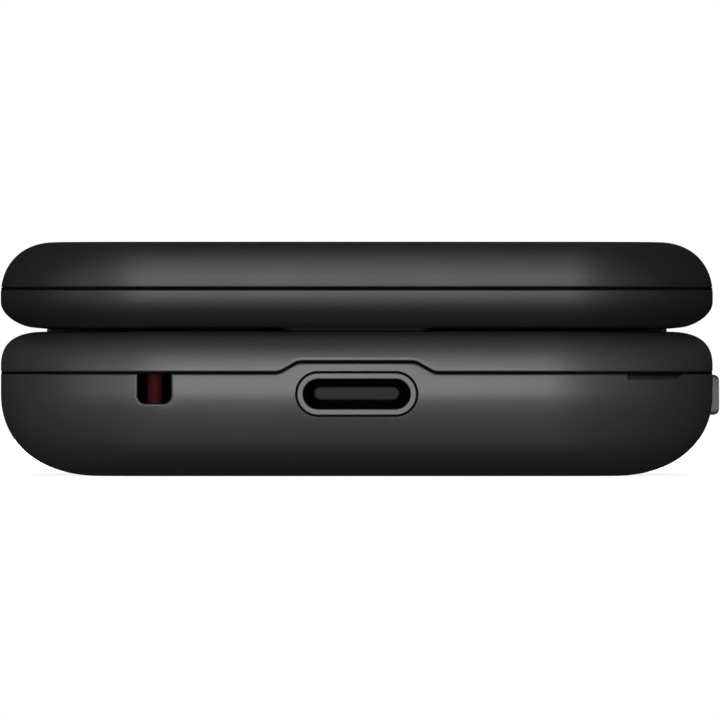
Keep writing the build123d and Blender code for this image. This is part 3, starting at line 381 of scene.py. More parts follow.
# ---------------------------------------------------------------- plan outline of both halves
def stations(front_x, side_y, back_x, radius):
    """Columns round the phone, from above, anticlockwise from the hinge end's middle: the point on
    the outline, the inward direction, and how much the column belongs to the port end (0 to 1).
    The port end and its corners of the given radius are bowed: y grows by end_bow times x squared."""
    turn = np.linspace(0, pi / 2, 25)[1:-1]
    cx, cy = half_width - radius, front_y + radius
    bx, by = half_width - back_radius, back_y - back_radius
    columns = []

    def straight(x, y, nx, ny, share):
        """Columns along a straight side, all with one inward direction."""
        x, y = np.broadcast_arrays(np.asarray(x, float), np.asarray(y, float))
        columns.append(np.stack([x, y, np.full(x.shape, nx), np.full(x.shape, ny), np.full(x.shape, share)], -1))

    def corner(centre_x, centre_y, radius, angle, share):
        """Columns at the given angles of an arc."""
        dx, dy = np.cos(angle), np.sin(angle)
        columns.append(np.stack([centre_x + radius * dx, centre_y + radius * dy, -dx, -dy, share], -1))

    def bowed():
        """Adds the bow to the last columns and turns their directions by its slope."""
        x, y, nx, ny, share = columns[-1].T
        nx = nx - 2 * end_bow * x * ny
        length = np.hypot(nx, ny)
        columns[-1] = np.stack([x, y + end_bow * x ** 2, nx / length, ny / length, share], -1)

    to_end = np.sin(turn) ** 2
    straight(-back_x[::-1], back_y, 0.0, -1.0, 0.0)
    corner(-bx, by, back_radius, pi / 2 + turn[::2], 0 * turn[::2])
    straight(-half_width, side_y[::-1], 1.0, 0.0, 0.0)
    corner(-cx, cy, radius, pi + turn, to_end)
    bowed()
    straight(front_x[np.abs(front_x) <= cx + 1e-6], front_y, 0.0, 1.0, 1.0)
    bowed()
    corner(cx, cy, radius, 1.5 * pi + turn, to_end[::-1])
    bowed()
    straight(half_width, side_y, -1.0, 0.0, 0.0)
    corner(bx, by, back_radius, turn[::2], 0 * turn[::2])
    straight(back_x[:-1], back_y, 0.0, -1.0, 0.0)
    return np.concatenate(columns)


def edge_curve(edge, share, t, inset):
    """Cubic from the side (t = 0) to the flat face (t = 1): inward reach and height above the flat.
    The side's and the port end's sizes are blended by share; an inset form has smaller sizes."""
    width, height, full_side, full_flat = (a + (b - a) * share[:, None] for a, b in zip(*edge))
    width, height = width - inset, height - inset
    s = 1 - t
    reach = 3 * s * t ** 2 * width * (1 - full_flat) + t ** 3 * width
    rise = s ** 3 * height + 3 * s ** 2 * t * height * (1 - full_side)
    return reach + inset, rise + inset


def under_curve(share, t, inset):
    """Underside edge of the base: along the sides one cubic, at the port end a steep fall, a slope of
    about forty degrees and a long flat run, as two cubics; in between the two are blended."""
    reach, rise = edge_curve((base_low_edge, base_low_edge), share, t, inset)
    p = np.array(under_slope)
    scale = np.array([(p[-1, 0] - inset) / p[-1, 0], (p[0, 1] - inset) / p[0, 1]])
    p = p * scale
    t = np.broadcast_to(t, reach.shape)
    first = t < 0.5
    q = np.where(first, t * 2, t * 2 - 1)[..., None]
    a, b, c, d = (np.where(first[..., None], p[k], p[k + 3]) for k in range(4))
    end = (1 - q) ** 3 * a + 3 * (1 - q) ** 2 * q * b + 3 * (1 - q) * q ** 2 * c + q ** 3 * d
    share = share[:, None]
    reach = (1 - share) * reach + share * (end[..., 0] + inset)
    # stays clear of the corner's centre
    reach = np.where(reach > under_limit, under_limit + (reach - under_limit) * under_squeeze, reach)
    return reach, (1 - share) * rise + share * (end[..., 1] + inset)


dense = np.linspace(0, 1, 400)          # shares at which a curve is worked out before it is read off


def crossing(rise, level):
    """For each column, the share along its curve at which the height falls to level, or 0 where it
    starts lower."""
    return np.array([np.interp(-z, -row, dense) if z < row[0] else 0.0 for z, row in zip(level, rise)])


def spread(start, stop, count):
    """Rows of numbers from start to stop, for each column."""
    return start[:, None] + (stop - start)[:, None] * np.linspace(0, 1, count)


def sampled(curve, t, share, inset):
    """Inward reach and height of a curve at a grid of shares t (columns x rows)."""
    return [np.array([np.interp(at, dense, row) for at, row in zip(t, full)])
            for full in curve(share, dense[None, :], inset)]


def reach_at(curve, share, inset, height):
    """Inward reach of a curve at a height above its flat face; 0 plus the inset beyond its start."""
    full_reach, full_rise = curve(share, dense[None, :], inset)
    height = np.broadcast_to(height, (len(share),))
    return np.array([np.interp(-h, -rise, reach) for h, rise, reach in zip(height, full_rise, full_reach)])


def skin_rows(columns, curve, flat_z, direction, inset, rim_z):
    """One skin of a shell from its flat face, over the rounded edge, up or down to the rim, as inward
    reach and height; direction is +1 where the flat face is below and -1 where it is on top."""
    share = columns[:, 4]
    height = (np.broadcast_to(rim_z, share.shape) - flat_z) * direction
    end = crossing(curve(share, dense[None, :], inset)[1], height)
    reach, rise = sampled(curve, spread(np.ones(len(columns)), end, curve_rows), share, inset)
    upright = spread(np.minimum(rise[:, -1], height), height, upright_rows)[:, 1:]
    reach = np.concatenate([reach[:, :1] + flat_step, reach, np.repeat(reach[:, -1:], upright.shape[1], 1)], 1)
    rise = np.concatenate([rise[:, :1], rise, upright], 1)
    return reach, flat_z + direction * rise


def rim_rows(reach, z, direction):
    """The softened edge after a skin's last row, which ends a rounding below the rim: a quarter circle."""
    turn = np.radians([30, 60, 90])
    return reach[:, -1:] + rim_round * (1 - np.cos(turn)), z[:, -1:] + direction * rim_round * np.sin(turn)


def shell_points(columns, rows, spines):
    """Grid of points: the outer middle line, the rows of (reach, z), the inner middle line."""
    reach = np.concatenate([r for r, z in rows], 1)
    z = np.concatenate([np.broadcast_to(z, r.shape) for r, z in rows], 1)
    xy = columns[:, None, :2] + columns[:, None, 2:4] * reach[..., None]
    first, last = (line[:, None, :] for line in spines)
    return np.concatenate([first, np.concatenate([xy, z[..., None]], -1), last], 1)


def spine(columns, z, high=back_y - 12):
    """Points on the middle line that the flat face runs to, from 24 mm behind the port end."""
    y = np.clip(columns[:, 1], front_y + 24, high)
    return np.stack([0 * y, y, np.broadcast_to(z, y.shape)], -1)


def make_shell(name, points, body, material, slot, closed=True):
    """Closed skin from a grid of points; open ends are closed by a flat band."""
    count, size, _ = points.shape
    faces = grid_faces(count, size, close_rows=closed)
    if not closed:
        faces += [list(range(size)), [(count - 1) * size + i for i in range(size)][::-1]]
    return new_object(name, points.reshape(-1, 3), faces, body, material, slot)


def bend(value, points):
    """Piecewise straight function through (position, height) points."""
    return np.interp(value, *zip(*points))


def smooth_bend(value, points, radius):
    """The same with its corners rounded, as a running mean over a width."""
    offsets = np.linspace(-radius, radius, 13)
    weight = 1 - (offsets / radius) ** 2 * 0.6
    return sum(bend(value + o, points) * w for o, w in zip(offsets, weight)) / weight.sum()


# ---------------------------------------------------------------- the two halves' shells
front_samples = np.unique(np.concatenate([np.linspace(-14.5, 14.5, 30), np.linspace(-6.8, -3.6, 33),
                                          np.linspace(3.6, 6.8, 33)]))
side_samples = np.unique(np.concatenate([np.linspace(-38.5, 42.1, 22), np.linspace(-22.6, -16.4, 40)]))
back_samples = np.linspace(0, 19.3, 9)[::-1]
plan = stations(front_samples, side_samples, back_samples, front_radius)
lid_plan = stations(np.linspace(-16.5, 16.5, 34), side_samples, back_samples, lid_front_radius)
hump_edge = ((-5.98, 0), (-4.53, 0.83), (4.53, 0.83), (5.98, 0))      # rise of the seam over the port
step_edge = ((-22.0, 7.92), (-16.9, 2.9))                             # fall of the cover's rim along the sides
tail_y = 34.0                                                         # where the cover ends
shell_wall, keypad_wall = 1.1, 1.2
chassis_inset = 1.2                                                   # depth of the chassis below the outside


def seam_line(columns):
    """Height of the seam between the battery cover and the shell above it: level, with a raised
    part over the charging port whose corners are rounded."""
    at_port = (columns[:, 1] < front_y + 2) & (np.abs(columns[:, 0]) < 7)
    return base_seam + np.where(at_port, smooth_bend(columns[:, 0], hump_edge, 0.35), 0.0)


def top_curve(edge):
    """The rounding of a shell's flat face as a curve of share, t and inset."""
    return lambda share, t, inset: edge_curve(edge, share, t, inset)


def level_rows(share, curve, flat_z, direction, rows):
    """Rows at given (inset, height) pairs, each following the outer form at that depth."""
    reach = [reach_at(curve, share, inset, (z - flat_z) * direction) for inset, z in rows]
    return np.stack(reach, 1), np.array([[z for inset, z in rows]] * len(share))


def upper_shell(name, body, material, slot, columns, edge, flat_z, direction, rim, wall, tongue=(), step=()):
    """Closed shell with one flat face: its outer skin, its rounded rim, a tongue that stands out of
    the rim or a step that makes room for one, and its inner skin."""
    curve = top_curve(edge)
    share = columns[:, 4]
    rim = np.broadcast_to(rim, share.shape)
    outer = skin_rows(columns, curve, flat_z, direction, 0.0, rim - direction * rim_round)
    rows = [outer, rim_rows(*outer, direction)]
    if tongue or step:
        rows.append(level_rows(share, curve, flat_z, direction, tongue or step))
    if step:
        rim = np.full(len(columns), step[-1][1])
    inner = skin_rows(columns, curve, flat_z, direction, wall, rim)
    rows.append([a[:, ::-1] for a in inner])
    points = shell_points(columns, rows, [spine(columns, flat_z), spine(columns, flat_z + direction * wall)])
    return make_shell(name, points, body, material, slot)


seam_z = seam_line(plan)
lid_shell = upper_shell("lid_outer_shell", "lid", lid_plastic, "lid_black", lid_plan, lid_high_edge, lid_top, -1,
                        lid_seam + seam_half, shell_wall, step=((0.44, 14.58), (0.44, 15.36)))
bezel_shell = upper_shell("lid_inner_shell", "lid", lid_plastic, "lid_black", lid_plan, lid_low_edge, lid_bottom, 1,
                          lid_seam - seam_half, shell_wall,
                          tongue=((0.5, 14.42), (0.5, 15.24), (0.56, 15.30), (1.04, 15.30), (1.1, 15.24)))
keypad_shell = upper_shell("keypad_shell", "base", base_plastic, "housing_black", plan, base_high_edge, base_top, -1,
                           seam_z + seam_half, keypad_wall)


def cover_shell():
    """Battery cover: a tray whose rim follows the seam, drops along the sides and ends at the tail."""
    columns = plan[plan[:, 1] <= tail_y]
    columns = np.concatenate([columns[:1], columns, columns[-1:]])
    columns[[0, -1], 1] = tail_y
    rim = np.where(np.abs(columns[:, 0]) > half_width - 1e-6,
                   smooth_bend(columns[:, 1], step_edge, 0.5), seam_line(columns) - seam_half)
    outer = skin_rows(columns, under_curve, 0.0, 1, 0.0, rim - rim_round)
    inner = [a[:, ::-1] for a in skin_rows(columns, under_curve, 0.0, 1, shell_wall, rim)]
    points = shell_points(columns, [outer, rim_rows(*outer, 1), inner],
                          [spine(columns, z, tail_y) for z in (0.0, shell_wall)])
    return make_shell("battery_cover_shell", points, "battery_cover", base_plastic, "housing_black", closed=False)


cover = cover_shell()


def inner_form(columns, curve, flat_z, direction, inset, rim):
    """Closed form that fills a shell from its flat face to a rim, deeper than the outside by inset."""
    skin = skin_rows(columns, curve, flat_z, direction, inset, np.full(len(columns), float(rim)))
    points = shell_points(columns, [skin], [spine(columns, flat_z + direction * inset), spine(columns, rim)])
    count, size, _ = points.shape
    return points.reshape(-1, 3), grid_faces(count, size, close_rows=True)


# ---------------------------------------------------------------- hinge: rooms, troughs and barrels
barrel_room, cover_room, shield = 5.0, 4.8, 6.1        # radii of the rooms round the barrels, and of their walls
side_start, side_end = 14.0, 24.95
middle_room_half = middle_half + 0.2
middle_soft, side_soft = 0.25, 0.35                    # rounding of the barrels' ends


def hinge_rod(radius, x0, x1, rounding=0.0):
    """Cylinder on the hinge axis; each end may be softened by a quarter circle."""
    turn = np.linspace(0, pi / 2, 5)
    near = np.stack([radius - rounding + rounding * np.sin(turn), x0 + rounding * (1 - np.cos(turn))], -1)
    far = np.stack([radius - rounding + rounding * np.cos(turn), x1 - rounding * (1 - np.sin(turn))], -1)
    profile = [*near, *far] if rounding else [near[-1], far[0]]
    return loft([np.insert(circle(r, hinge_y, hinge_z, 96), 0, x, 1) for r, x in profile])


def both(radius, x0, x1, rounding=0.0):
    """The same on both sides of the middle."""
    return [hinge_rod(radius, x0, x1, rounding), hinge_rod(radius, -x1, -x0, rounding)]


def thicken_at_hinge(shell, columns, edge, flat_z, direction, rim):
    """Fills the shell round the hinge, so that the rooms cut into it have walls."""
    filling = helper("filling", hinge_rod(shield, -side_end - shell_wall, side_end + shell_wall), shell)
    inside = inner_form(columns, top_curve(edge), flat_z, direction, 0.5, rim)
    combine(filling, helper("inside", inside, shell), "INTERSECT")
    combine(shell, filling, "UNION")


thicken_at_hinge(keypad_shell, plan, base_high_edge, base_top, -1, base_seam + seam_half)
thicken_at_hinge(bezel_shell, lid_plan, lid_low_edge, lid_bottom, 1, lid_seam - seam_half)
thicken_at_hinge(lid_shell, lid_plan, lid_high_edge, lid_top, -1, lid_seam + seam_half)
carve(keypad_shell, both(barrel_room, side_start, side_end))
carve(bezel_shell, [hinge_rod(barrel_room, -middle_room_half, middle_room_half)])
carve(lid_shell, both(cover_room, side_start, side_end))
carve(lid_shell, [hinge_rod(barrel_room, -middle_room_half, middle_room_half)])
add_to(keypad_shell, [hinge_rod(barrel_radius, -middle_half, middle_half, middle_soft)])
add_to(bezel_shell, both(barrel_radius, middle_room_half, barrel_half, side_soft))


# ---------------------------------------------------------------- openings at the port end
def under_reach(share, z):
    """Inward reach of the underside's edge at heights z, for one share of the port end."""
    reach, rise = (a[0] for a in under_curve(np.array([share]), dense[None, :], 0.0))
    return np.interp(-z, -rise, reach)


def end_surface(x, z):
    """Y of the base's outside at the port end, below the seam: the end's section straight ahead,
    and round the corner the section for the direction that the point lies in."""
    at_end, at_side = under_reach(1.0, z), under_reach(0.0, z)
    beside = np.maximum(np.abs(x) - (half_width - front_radius), 0)
    share = np.ones_like(x)
    for _ in range(4):        # radius and share depend on each other, and settle in a few rounds
        radius = front_radius - (at_side + (at_end - at_side) * share)
        share = 1 - (beside / radius) ** 2
    return front_y + front_radius - radius * np.sqrt(share) + end_bow * x ** 2


def flared_cut(outline, rounding):
    """Form that cuts an opening through the port end: an outline of (x, z) carried from 4 mm inside
    to 1.5 mm outside, with its mouth rounded by a quarter circle that follows the surface. The
    outline grows along its own normals."""
    ahead = np.roll(outline, -1, 0) - np.roll(outline, 1, 0)
    normal = np.stack([ahead[:, 1], -ahead[:, 0]], -1) / np.linalg.norm(ahead, axis=1)[:, None]
    rings = []
    mouth = [(rounding * (1 - cos(t)), rounding * (1 - sin(t))) for t in np.linspace(0, pi / 2, 5)]
    for growth, inward in [(0.0, 4.0), *mouth, (rounding, -1.5)]:
        ring = outline + normal * growth
        rings.append(np.stack([ring[:, 0], end_surface(ring[:, 0], ring[:, 1]) + inward, ring[:, 1]], -1))
    return loft(rings)


def stadium_outline(width, height, z):
    """Slot with round ends, centred at height z, anticlockwise as seen from the port end."""
    a = np.linspace(-pi / 2, pi / 2, 24)
    r = height / 2
    right = np.stack([width / 2 - r + r * np.cos(a), r * np.sin(a)], -1)
    return np.concatenate([right, -right]) + (0, z)


port_width, port_height, port_z, port_gap = 9.16, 3.22, 6.345, 0.14
strap_x, strap_half, strap_low, strap_corner = -15.55, 1.30, 5.60, 0.62
# Strap slot, open towards the seam: its two lower corners are quarter circles
strap_turn = np.linspace(0, pi / 2, 8)
strap_edge = np.stack([strap_half - strap_corner * (1 - np.sin(strap_turn)),
                       strap_low + strap_corner * (1 - np.cos(strap_turn))], -1)
strap_outline = np.concatenate([strap_edge[::-1] * (-1, 1), strap_edge,
                                [(strap_half, 8.6), (-strap_half, 8.6)]]) + (strap_x, 0)
carve(cover, [flared_cut(stadium_outline(port_width + 2 * port_gap, port_height + 2 * port_gap, port_z), 0.04)])
carve(cover, [flared_cut(strap_outline, 0.18)])


def pry_notch():
    """Fingernail notch in the cover's rim: a face that slopes inward as it rises, with one slanted end.
    At each level the form runs along the outside, in by its depth there, and back well outside. The
    inward direction points to the middle of the corner's arc, moved by the bow."""
    low, x0, x1, slant = 7.44, 20.8, 25.15, 0.5
    rings = []
    for z, depth in ((low - 0.03, -0.03), (low, 0.02), (7.60, 0.20), (7.92, 0.62), (8.3, 1.0)):
        x = np.linspace(x0, x1 - slant * np.clip(1 - (z - low) / 0.45, 0, 1), 16)
        y = end_surface(x, np.full(16, z))
        inward = np.stack([half_width - front_radius - x, front_y + front_radius + end_bow * x ** 2 - y], -1)
        inward /= np.linalg.norm(inward, axis=1)[:, None]
        line = np.stack([x, y], -1)
        rings.append(at_height(np.concatenate([line + inward * depth, (line - inward * 1.5)[::-1]]), z))
    return loft(rings)


carve(cover, [pry_notch()])


# ---------------------------------------------------------------- pieces of the port end
def ring_along(columns, section):
    """Closed band carried round the phone: its section is a loop of (inward reach, height) pairs,
    where the height may differ from column to column."""
    points = np.stack([np.column_stack([columns[:, :2] + columns[:, 2:4] * reach, np.broadcast_to(z, len(columns))])
                       for reach, z in section], 1)
    count, size, _ = points.shape
    return points.reshape(-1, 3), grid_faces(count, size, close_rows=True, close_columns=True)


def block(x0, x1, y0, y1, z0, z1):
    """Plain box, as one part of a larger piece."""
    return prism(np.array([(x0, y0), (x1, y0), (x1, y1), (x0, y1)]), z0, z1)


def seam_shade_strip(name, body, columns, z):
    """Near-black strip a little way into a seam, painted shade in its open line; the hinge's rooms interrupt it."""
    low, high = z - seam_half, z + seam_half
    section = ((0.03, low), (0.42, low), (0.42, high), (0.03, high))
    strip = new_object(name, *ring_along(columns, section), body, shade_black, "silicone")
    carve(strip, [hinge_rod(barrel_room + 0.05, -side_end - 0.1, side_end + 0.1)])


# Near-black strips in the seams and at the cover's tail: painted shade in the open lines
seam_shade_strip("lid_seam_painted_shade", "lid", lid_plan, lid_seam)
seam_shade_strip("base_seam_painted_shade", "base", plan, seam_z)
new_object("tail_seam_painted_shade", *block(-19.6, 19.6, tail_y + 0.03, tail_y + 0.13, 0.02, shell_wall), "base", shade_black,
           "silicone")


def slot_form(rows, z, caps=True):
    """Form through slots with round ends: each row is (width, height, y)."""
    return loft([np.insert(stadium_outline(width, height, z), 1, y, 1) for width, height, y in rows], caps)


def slot_tube(rows, z):
    """The same, closed from its last row back to its first, so that it is open in the middle."""
    return slot_form([*rows, rows[0]], z, caps=False)


# Trim ring of the port, flat with tiny roundings into the gap and the mouth
ring_rows = [(port_width - a, port_height - a, y) for a, y in (
    (0.0, -52.4), (0.0, -53.97), (0.04, -53.995), (0.15, -54.0), (0.45, -54.0), (0.77, -54.0), (0.87, -53.99),
    (0.91, -53.95), (0.91, -52.4))]
port_ring = new_object("port_trim_ring", *slot_tube(ring_rows, port_z), "base", port_trim, "port_trim", smooth=60)
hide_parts("usb_ring")

# Near-black band in the gap round the trim ring: painted shade in the gap
gap_shade_rows = [(port_width + a, port_height + a, y)
               for a, y in ((0.02, -52.4), (0.02, -53.62), (0.26, -53.62), (0.26, -52.4))]
new_object("port_gap_painted_shade", *slot_tube(gap_shade_rows, port_z), "base", shade_black, "silicone", smooth=30)

# Mouth of the socket: a tube closed at the back, near-black inside as painted shade
mouth_rows = [(8.94, 3.00, -52.4), (8.94, 3.00, -46.7), (0.5, 0.2, -46.7), (0.5, 0.2, -47.3), (8.30, 2.36, -47.3),
              (8.30, 2.36, -52.4)]
socket = new_object("port_socket", *slot_tube(mouth_rows, port_z), "base", socket_shade_black, "steel", smooth=30)
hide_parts("usb_shell")

# Tongue with rounded ends and front edge, and gold contacts on both faces
tongue_z = port_z + 0.055
tongue_rows = [(6.30, 0.72, -53.27), (6.46, 0.90, -53.25), (6.56, 1.00, -53.17), (6.60, 1.06, -53.0),
               (6.60, 1.06, -52.75), (6.50, 0.94, -52.72), (6.50, 0.94, -47.3)]
tongue = new_object("port_tongue", *slot_form(tongue_rows, tongue_z), "base", tongue_plastic, "inner_plastic",
                    smooth=50)
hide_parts("usb_tongue")
contacts = join([block(x - 0.13, x + 0.13, -52.7, -48.6, z - 0.03, z + 0.03)
                 for x in np.arange(-5.5, 6) * 0.5 for z in (tongue_z - 0.47, tongue_z + 0.47)])
new_object("port_contacts", *contacts, "base", contact_gold, "steel", smooth=30)

# Strap pocket: near-black walls behind the slot, painted shade inside it, and the post that the cord goes round
x0, x1, y0, y1, z0, z1 = strap_x - 2.3, strap_x + 2.3, -51.85, -49.45, 5.0, 8.2
wall = 0.04
pocket_shade_walls = [block(x0, x1, y1 - wall, y1, z0, z1), block(x0, x1, y0, y1, z0, z0 + wall),
          block(x0, x1, y0, y1, z1 - wall, z1), block(x0, x0 + wall, y0, y1, z0, z1),
          block(x1 - wall, x1, y0, y1, z0, z1)]
new_object("strap_pocket_painted_shade", *join(pocket_shade_walls), "base", shade_black, "inner_plastic", smooth=30)
post = ((0, 4.4), (0.45, 4.4), (0.54, 4.46), (0.60, 4.60), (0.60, 8.1), (0, 8.1))
strap_post = turned_piece("strap_post_pin", post, strap_x + 0.02, -51.785, "base", post_red, "post_red", 40, 38)
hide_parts("strap_post")


# ---------------------------------------------------------------- chassis
def under_shift(points):
    """Moves the port end of the chassis inward to lie under the cover: by how much the end's section
    is deeper than the sides' at the same height, fading out 9 mm inside the outline, and by the bow,
    which fades out between 2.8 and 5.2 mm inside the outline and along the sides."""
    x, y = points[:, 0], points[:, 1]
    height = np.clip(points[:, 2] - chassis_inset, 0, None)
    extra = under_reach(1.0, height) - under_reach(0.0, height)
    cx, cy = half_width - front_radius, front_y + front_radius
    dx, dy = np.maximum(np.abs(x) - cx, 0), np.minimum(y - cy, 0)
    far = np.hypot(dx, dy)
    part = (dy / np.maximum(far, 1e-9)) ** 2
    weight = np.clip(1 - (front_radius - far) / 9.0, 0, 1) * part * (dy < 0)
    inward = np.stack([-np.sign(x) * dx, -dy, 0 * dx], -1) / np.maximum(far, 1e-9)[:, None]
    deep = np.where(y < cy, np.where(np.abs(x) < cx, y - front_y, front_radius - far), half_width - np.abs(x))
    fading = np.clip((5.2 - deep) / 2.4, 0, 1) * np.clip((cy + 9 - y) / 9, 0, 1)
    bowed = end_bow * x ** 2 * fading
    return points + inward * (extra * weight)[:, None] + np.stack([0 * x, bowed, 0 * x], -1)


chassis = copy_of("rear_chassis", "chassis", "base", base_plastic, "housing_black", under_shift)
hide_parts("rear_chassis")
carve(chassis, [block(strap_x - 2.35, strap_x + 2.35, -56, -49.4, 4.9, 8.3)])


# ---------------------------------------------------------------- keypad
def soft_rows(floor, top, soften):
    """Growth and height of a cut's rows: upright from the floor, flared near the face, straight above it."""
    return [(0.0, floor), (0.0, top - soften), (soften * 0.3, top - soften * 0.3), (soften, top),
            (soften, top + 1.5)]


def softened_cut(width, depth, radius, x, y, floor, top, soften):
    """Form that cuts a rounded rectangle down from a face at height top, with a softened edge."""
    return layered(width, depth, radius, x, y, [(-growth, z) for growth, z in soft_rows(floor, top, soften)])


def round_cut(radius, x, y, floor, top, soften):
    """The same for a round hole."""
    return loft([at_height(circle(radius + g, x, y, 72), z) for g, z in soft_rows(floor, top, soften)])


key_top, keypad_floor, nav_y, shell_inside = 11.05, 10.75, 27.2, 8.6
key_size, key_corner, pitch_x, pitch_y, first_y = (14.0, 10.2), 2.2, 15.1, 11.3, 9.5
key_play = 0.3                # by which a key's opening is wider than the key
recess = (46.4, 79.4, 3.3, 0, -1.1)     # the recess that the keys lie in: width, length, corner radius, middle
nav_room = 10.2               # radius of the opening for the navigation ring
microphone = (0.4, 7.5, -46.2)          # radius and place of the microphone's hole
key_rows = (("send_key", "clear_key", "end_key"), ("key_1", "key_2", "key_3"), ("key_4", "key_5", "key_6"),
            ("key_7", "key_8", "key_9"), ("key_star", "key_0", "key_hash"))
keys = [(name, (column - 1) * pitch_x, first_y - row * pitch_y, *key_size)
        for row, names in enumerate(key_rows) for column, name in enumerate(names)]
keys += [("left_soft_key", -16.8, nav_y, 10.6, 20.6), ("right_soft_key", 16.8, nav_y, 10.6, 20.6)]
carve(keypad_shell, [softened_cut(*recess, keypad_floor, base_top, 0.15)])
carve(keypad_shell,
      [softened_cut(w + key_play, d + key_play, key_corner + key_play / 2, x, y, shell_inside, keypad_floor, 0.06)
       for _, x, y, w, d in keys]
      + [round_cut(nav_room, 0, nav_y, shell_inside, keypad_floor, 0.06),
         round_cut(*microphone, 10.2, base_top, 0.05)])


def key_cap(name, x, y, width, depth):
    """Key with a gently domed top, from rows of (inset, drop below the crown)."""
    rows = ((0.0, 1.45), (0.0, 0.46), (0.03, 0.34), (0.12, 0.23), (0.30, 0.15), (0.70, 0.09), (1.6, 0.04),
            (3.0, 0.012), (4.6, 0.0))
    form = layered(width, depth, key_corner, x, y, [(inset, key_top - drop) for inset, drop in rows])
    cap = new_object(name + "_cap", *form, name, key_plastic, "key_plastic", smooth=60)
    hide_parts(name)


for key in keys:
    key_cap(*key)

# Navigation ring, dished towards the middle, and the round key inside it: profiles of (radius, height)
ring_profile = ((10.0, 9.6), (10.0, 10.52), (9.95, 10.68), (9.8, 10.82), (9.5, 10.91), (9.0, 10.95), (8.2, 10.93),
                (7.0, 10.86), (6.0, 10.77), (5.2, 10.68), (4.88, 10.60), (4.77, 10.48), (4.75, 10.3), (4.75, 9.6),
                (10.0, 9.6))
nav_ring = turned_piece("nav_ring", ring_profile, 0, nav_y, "nav_key", key_plastic, "key_plastic", 96, 50)
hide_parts("nav_key")
ok_profile = ((0, 9.6), (4.5, 9.6), (4.5, 10.45), (4.44, 10.62), (4.3, 10.74), (4.0, 10.82), (3.2, 10.89),
              (2.0, 10.93), (0, 10.95))
ok_cap = turned_piece("ok_cap", ok_profile, 0, nav_y, "ok_key", key_plastic, "key_plastic", 72, 50)
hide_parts("ok_key")


# ---------------------------------------------------------------- legends
ink_thickness = 0.03


def lettering(text, size, x, y, z, flip=False):
    """Points and faces of a line of text centred on (x, y); flip turns it to be read from below."""
    curve = bpy.data.curves.new("text", "FONT")
    curve.body, curve.size, curve.align_x, curve.align_y = text, size * MM, "CENTER", "CENTER"
    curve.extrude, curve.resolution_u = ink_thickness / 2 * MM, 4
    thing = in_scene("text", curve)
    graph = bpy.context.evaluated_depsgraph_get()
    mesh = bpy.data.meshes.new_from_object(thing.evaluated_get(graph))
    points = np.empty(len(mesh.vertices) * 3)
    mesh.vertices.foreach_get("co", points)
    points = points.reshape(-1, 3) / MM
    if flip:
        points = points * (-1, 1, -1)
    faces = [list(face.vertices) for face in mesh.polygons]
    bpy.data.meshes.remove(mesh)
    bpy.data.objects.remove(thing)
    return points + (x, y, z), faces


def printed(name, parts, body, ink, slot="key_plastic"):
    """One piece of print from several forms."""
    new_object(name, *join(parts), body, ink, slot, smooth=30)


def stroke(outline, z):
    """Thin printed shape over an outline."""
    return prism(outline, z - ink_thickness / 2, z + ink_thickness / 2)


def turned(outline, angle, x, y):
    """Outline turned by an angle in degrees about its origin, then moved to (x, y)."""
    across, along = cos(radians(angle)), sin(radians(angle))
    return outline @ np.array([[across, along], [-along, across]]) + (x, y)


def handset(x, y, angle, z):
    """Telephone receiver: an arched grip with a square pad at each end."""
    a = np.linspace(radians(150), radians(30), 20)
    arch = np.concatenate([np.stack([2.55 * np.cos(a), 2.55 * np.sin(a)], -1),
                           np.stack([1.75 * np.cos(a[::-1]), 1.75 * np.sin(a[::-1])], -1)]) - (0, 1.35)
    shapes = [stroke(turned(arch[::-1], angle, x, y), z)]
    for side in (-1, 1):
        pad = turned(rounded_rectangle(1.25, 1.15, 0.3, steps=4), -side * 24, side * 1.98, -0.62)
        shapes.append(stroke(turned(pad, angle, x, y), z + 0.004))
    return shapes


letters = {"key_2": "ABC", "key_3": "DEF", "key_4": "GHI", "key_5": "JKL", "key_6": "MNO", "key_7": "PQRS",
           "key_8": "TUV", "key_9": "WXYZ", "key_0": "+"}
legend_z = key_top + 0.005
digit_size = 5.4
for name, x, y, *_ in keys:
    digit, ink = name[-1], white_ink
    if name in letters:
        parts = [lettering(digit, digit_size, x - 3.0, y, legend_z),
                 lettering(letters[name], 2.5, x + 2.8, y, legend_z)]
    elif name == "key_star":
        parts = [lettering("*", 8.0, x, y - 1.4, legend_z)]
    elif name.startswith("key_"):
        parts = [lettering("#" if name == "key_hash" else digit, digit_size, x, y, legend_z)]
    elif name == "clear_key":
        parts = [lettering("CLR", 3.0, x, y, legend_z)]
    elif name == "send_key":
        parts, ink = handset(x, y, 45, legend_z), green_ink
    elif name == "end_key":
        parts, ink = handset(x, y, 0, legend_z), red_ink
    else:
        parts = [stroke(rounded_rectangle(3.4, 0.5, 0.24, x, y, steps=5), legend_z)]
    printed(name + "_legend", parts, name, ink)
arrow = np.array([(0.9, 0), (-0.45, 0.85), (-0.45, -0.85)])
printed("nav_legend", [stroke(turned(arrow, a, 7.5 * cos(radians(a)), nav_y + 7.5 * sin(radians(a))), 10.915)
                       for a in (0, 90, 180, 270)], "nav_key", white_ink)
printed("ok_legend", [lettering("OK", 2.9, 0, nav_y, 10.95)], "ok_key", white_ink)


# ---------------------------------------------------------------- lid: openings and panes
window_y, sub_y, camera_y, flash_x = -8.0, -10.0, 30.5, 9.5
main_seat, sub_seat = 12.17, 17.2                      # what the panes lie on
lid_inside = 16.4                                      # below the outer shell's wall
pane_play = 0.2                                        # by which an opening is wider than its pane
main_size, sub_size = (47.6, 69.0, 2.0), (33.0, 39.0, 3.0)     # panes' width, length and corner radius


def upwards(make, *place, floor, soften=0.06):
    """A cut made upwards into the lid's inner face: the downward form mirrored in z about that face."""
    points, faces = make(*place, 2 * lid_bottom - floor, lid_bottom, soften)
    return points * (1, 1, -1) + (0, 0, 2 * lid_bottom), faces


def opening(size):
    """Width, length and corner radius of the opening for a pane."""
    width, length, radius = size
    return width + pane_play, length + pane_play, radius + pane_play / 2


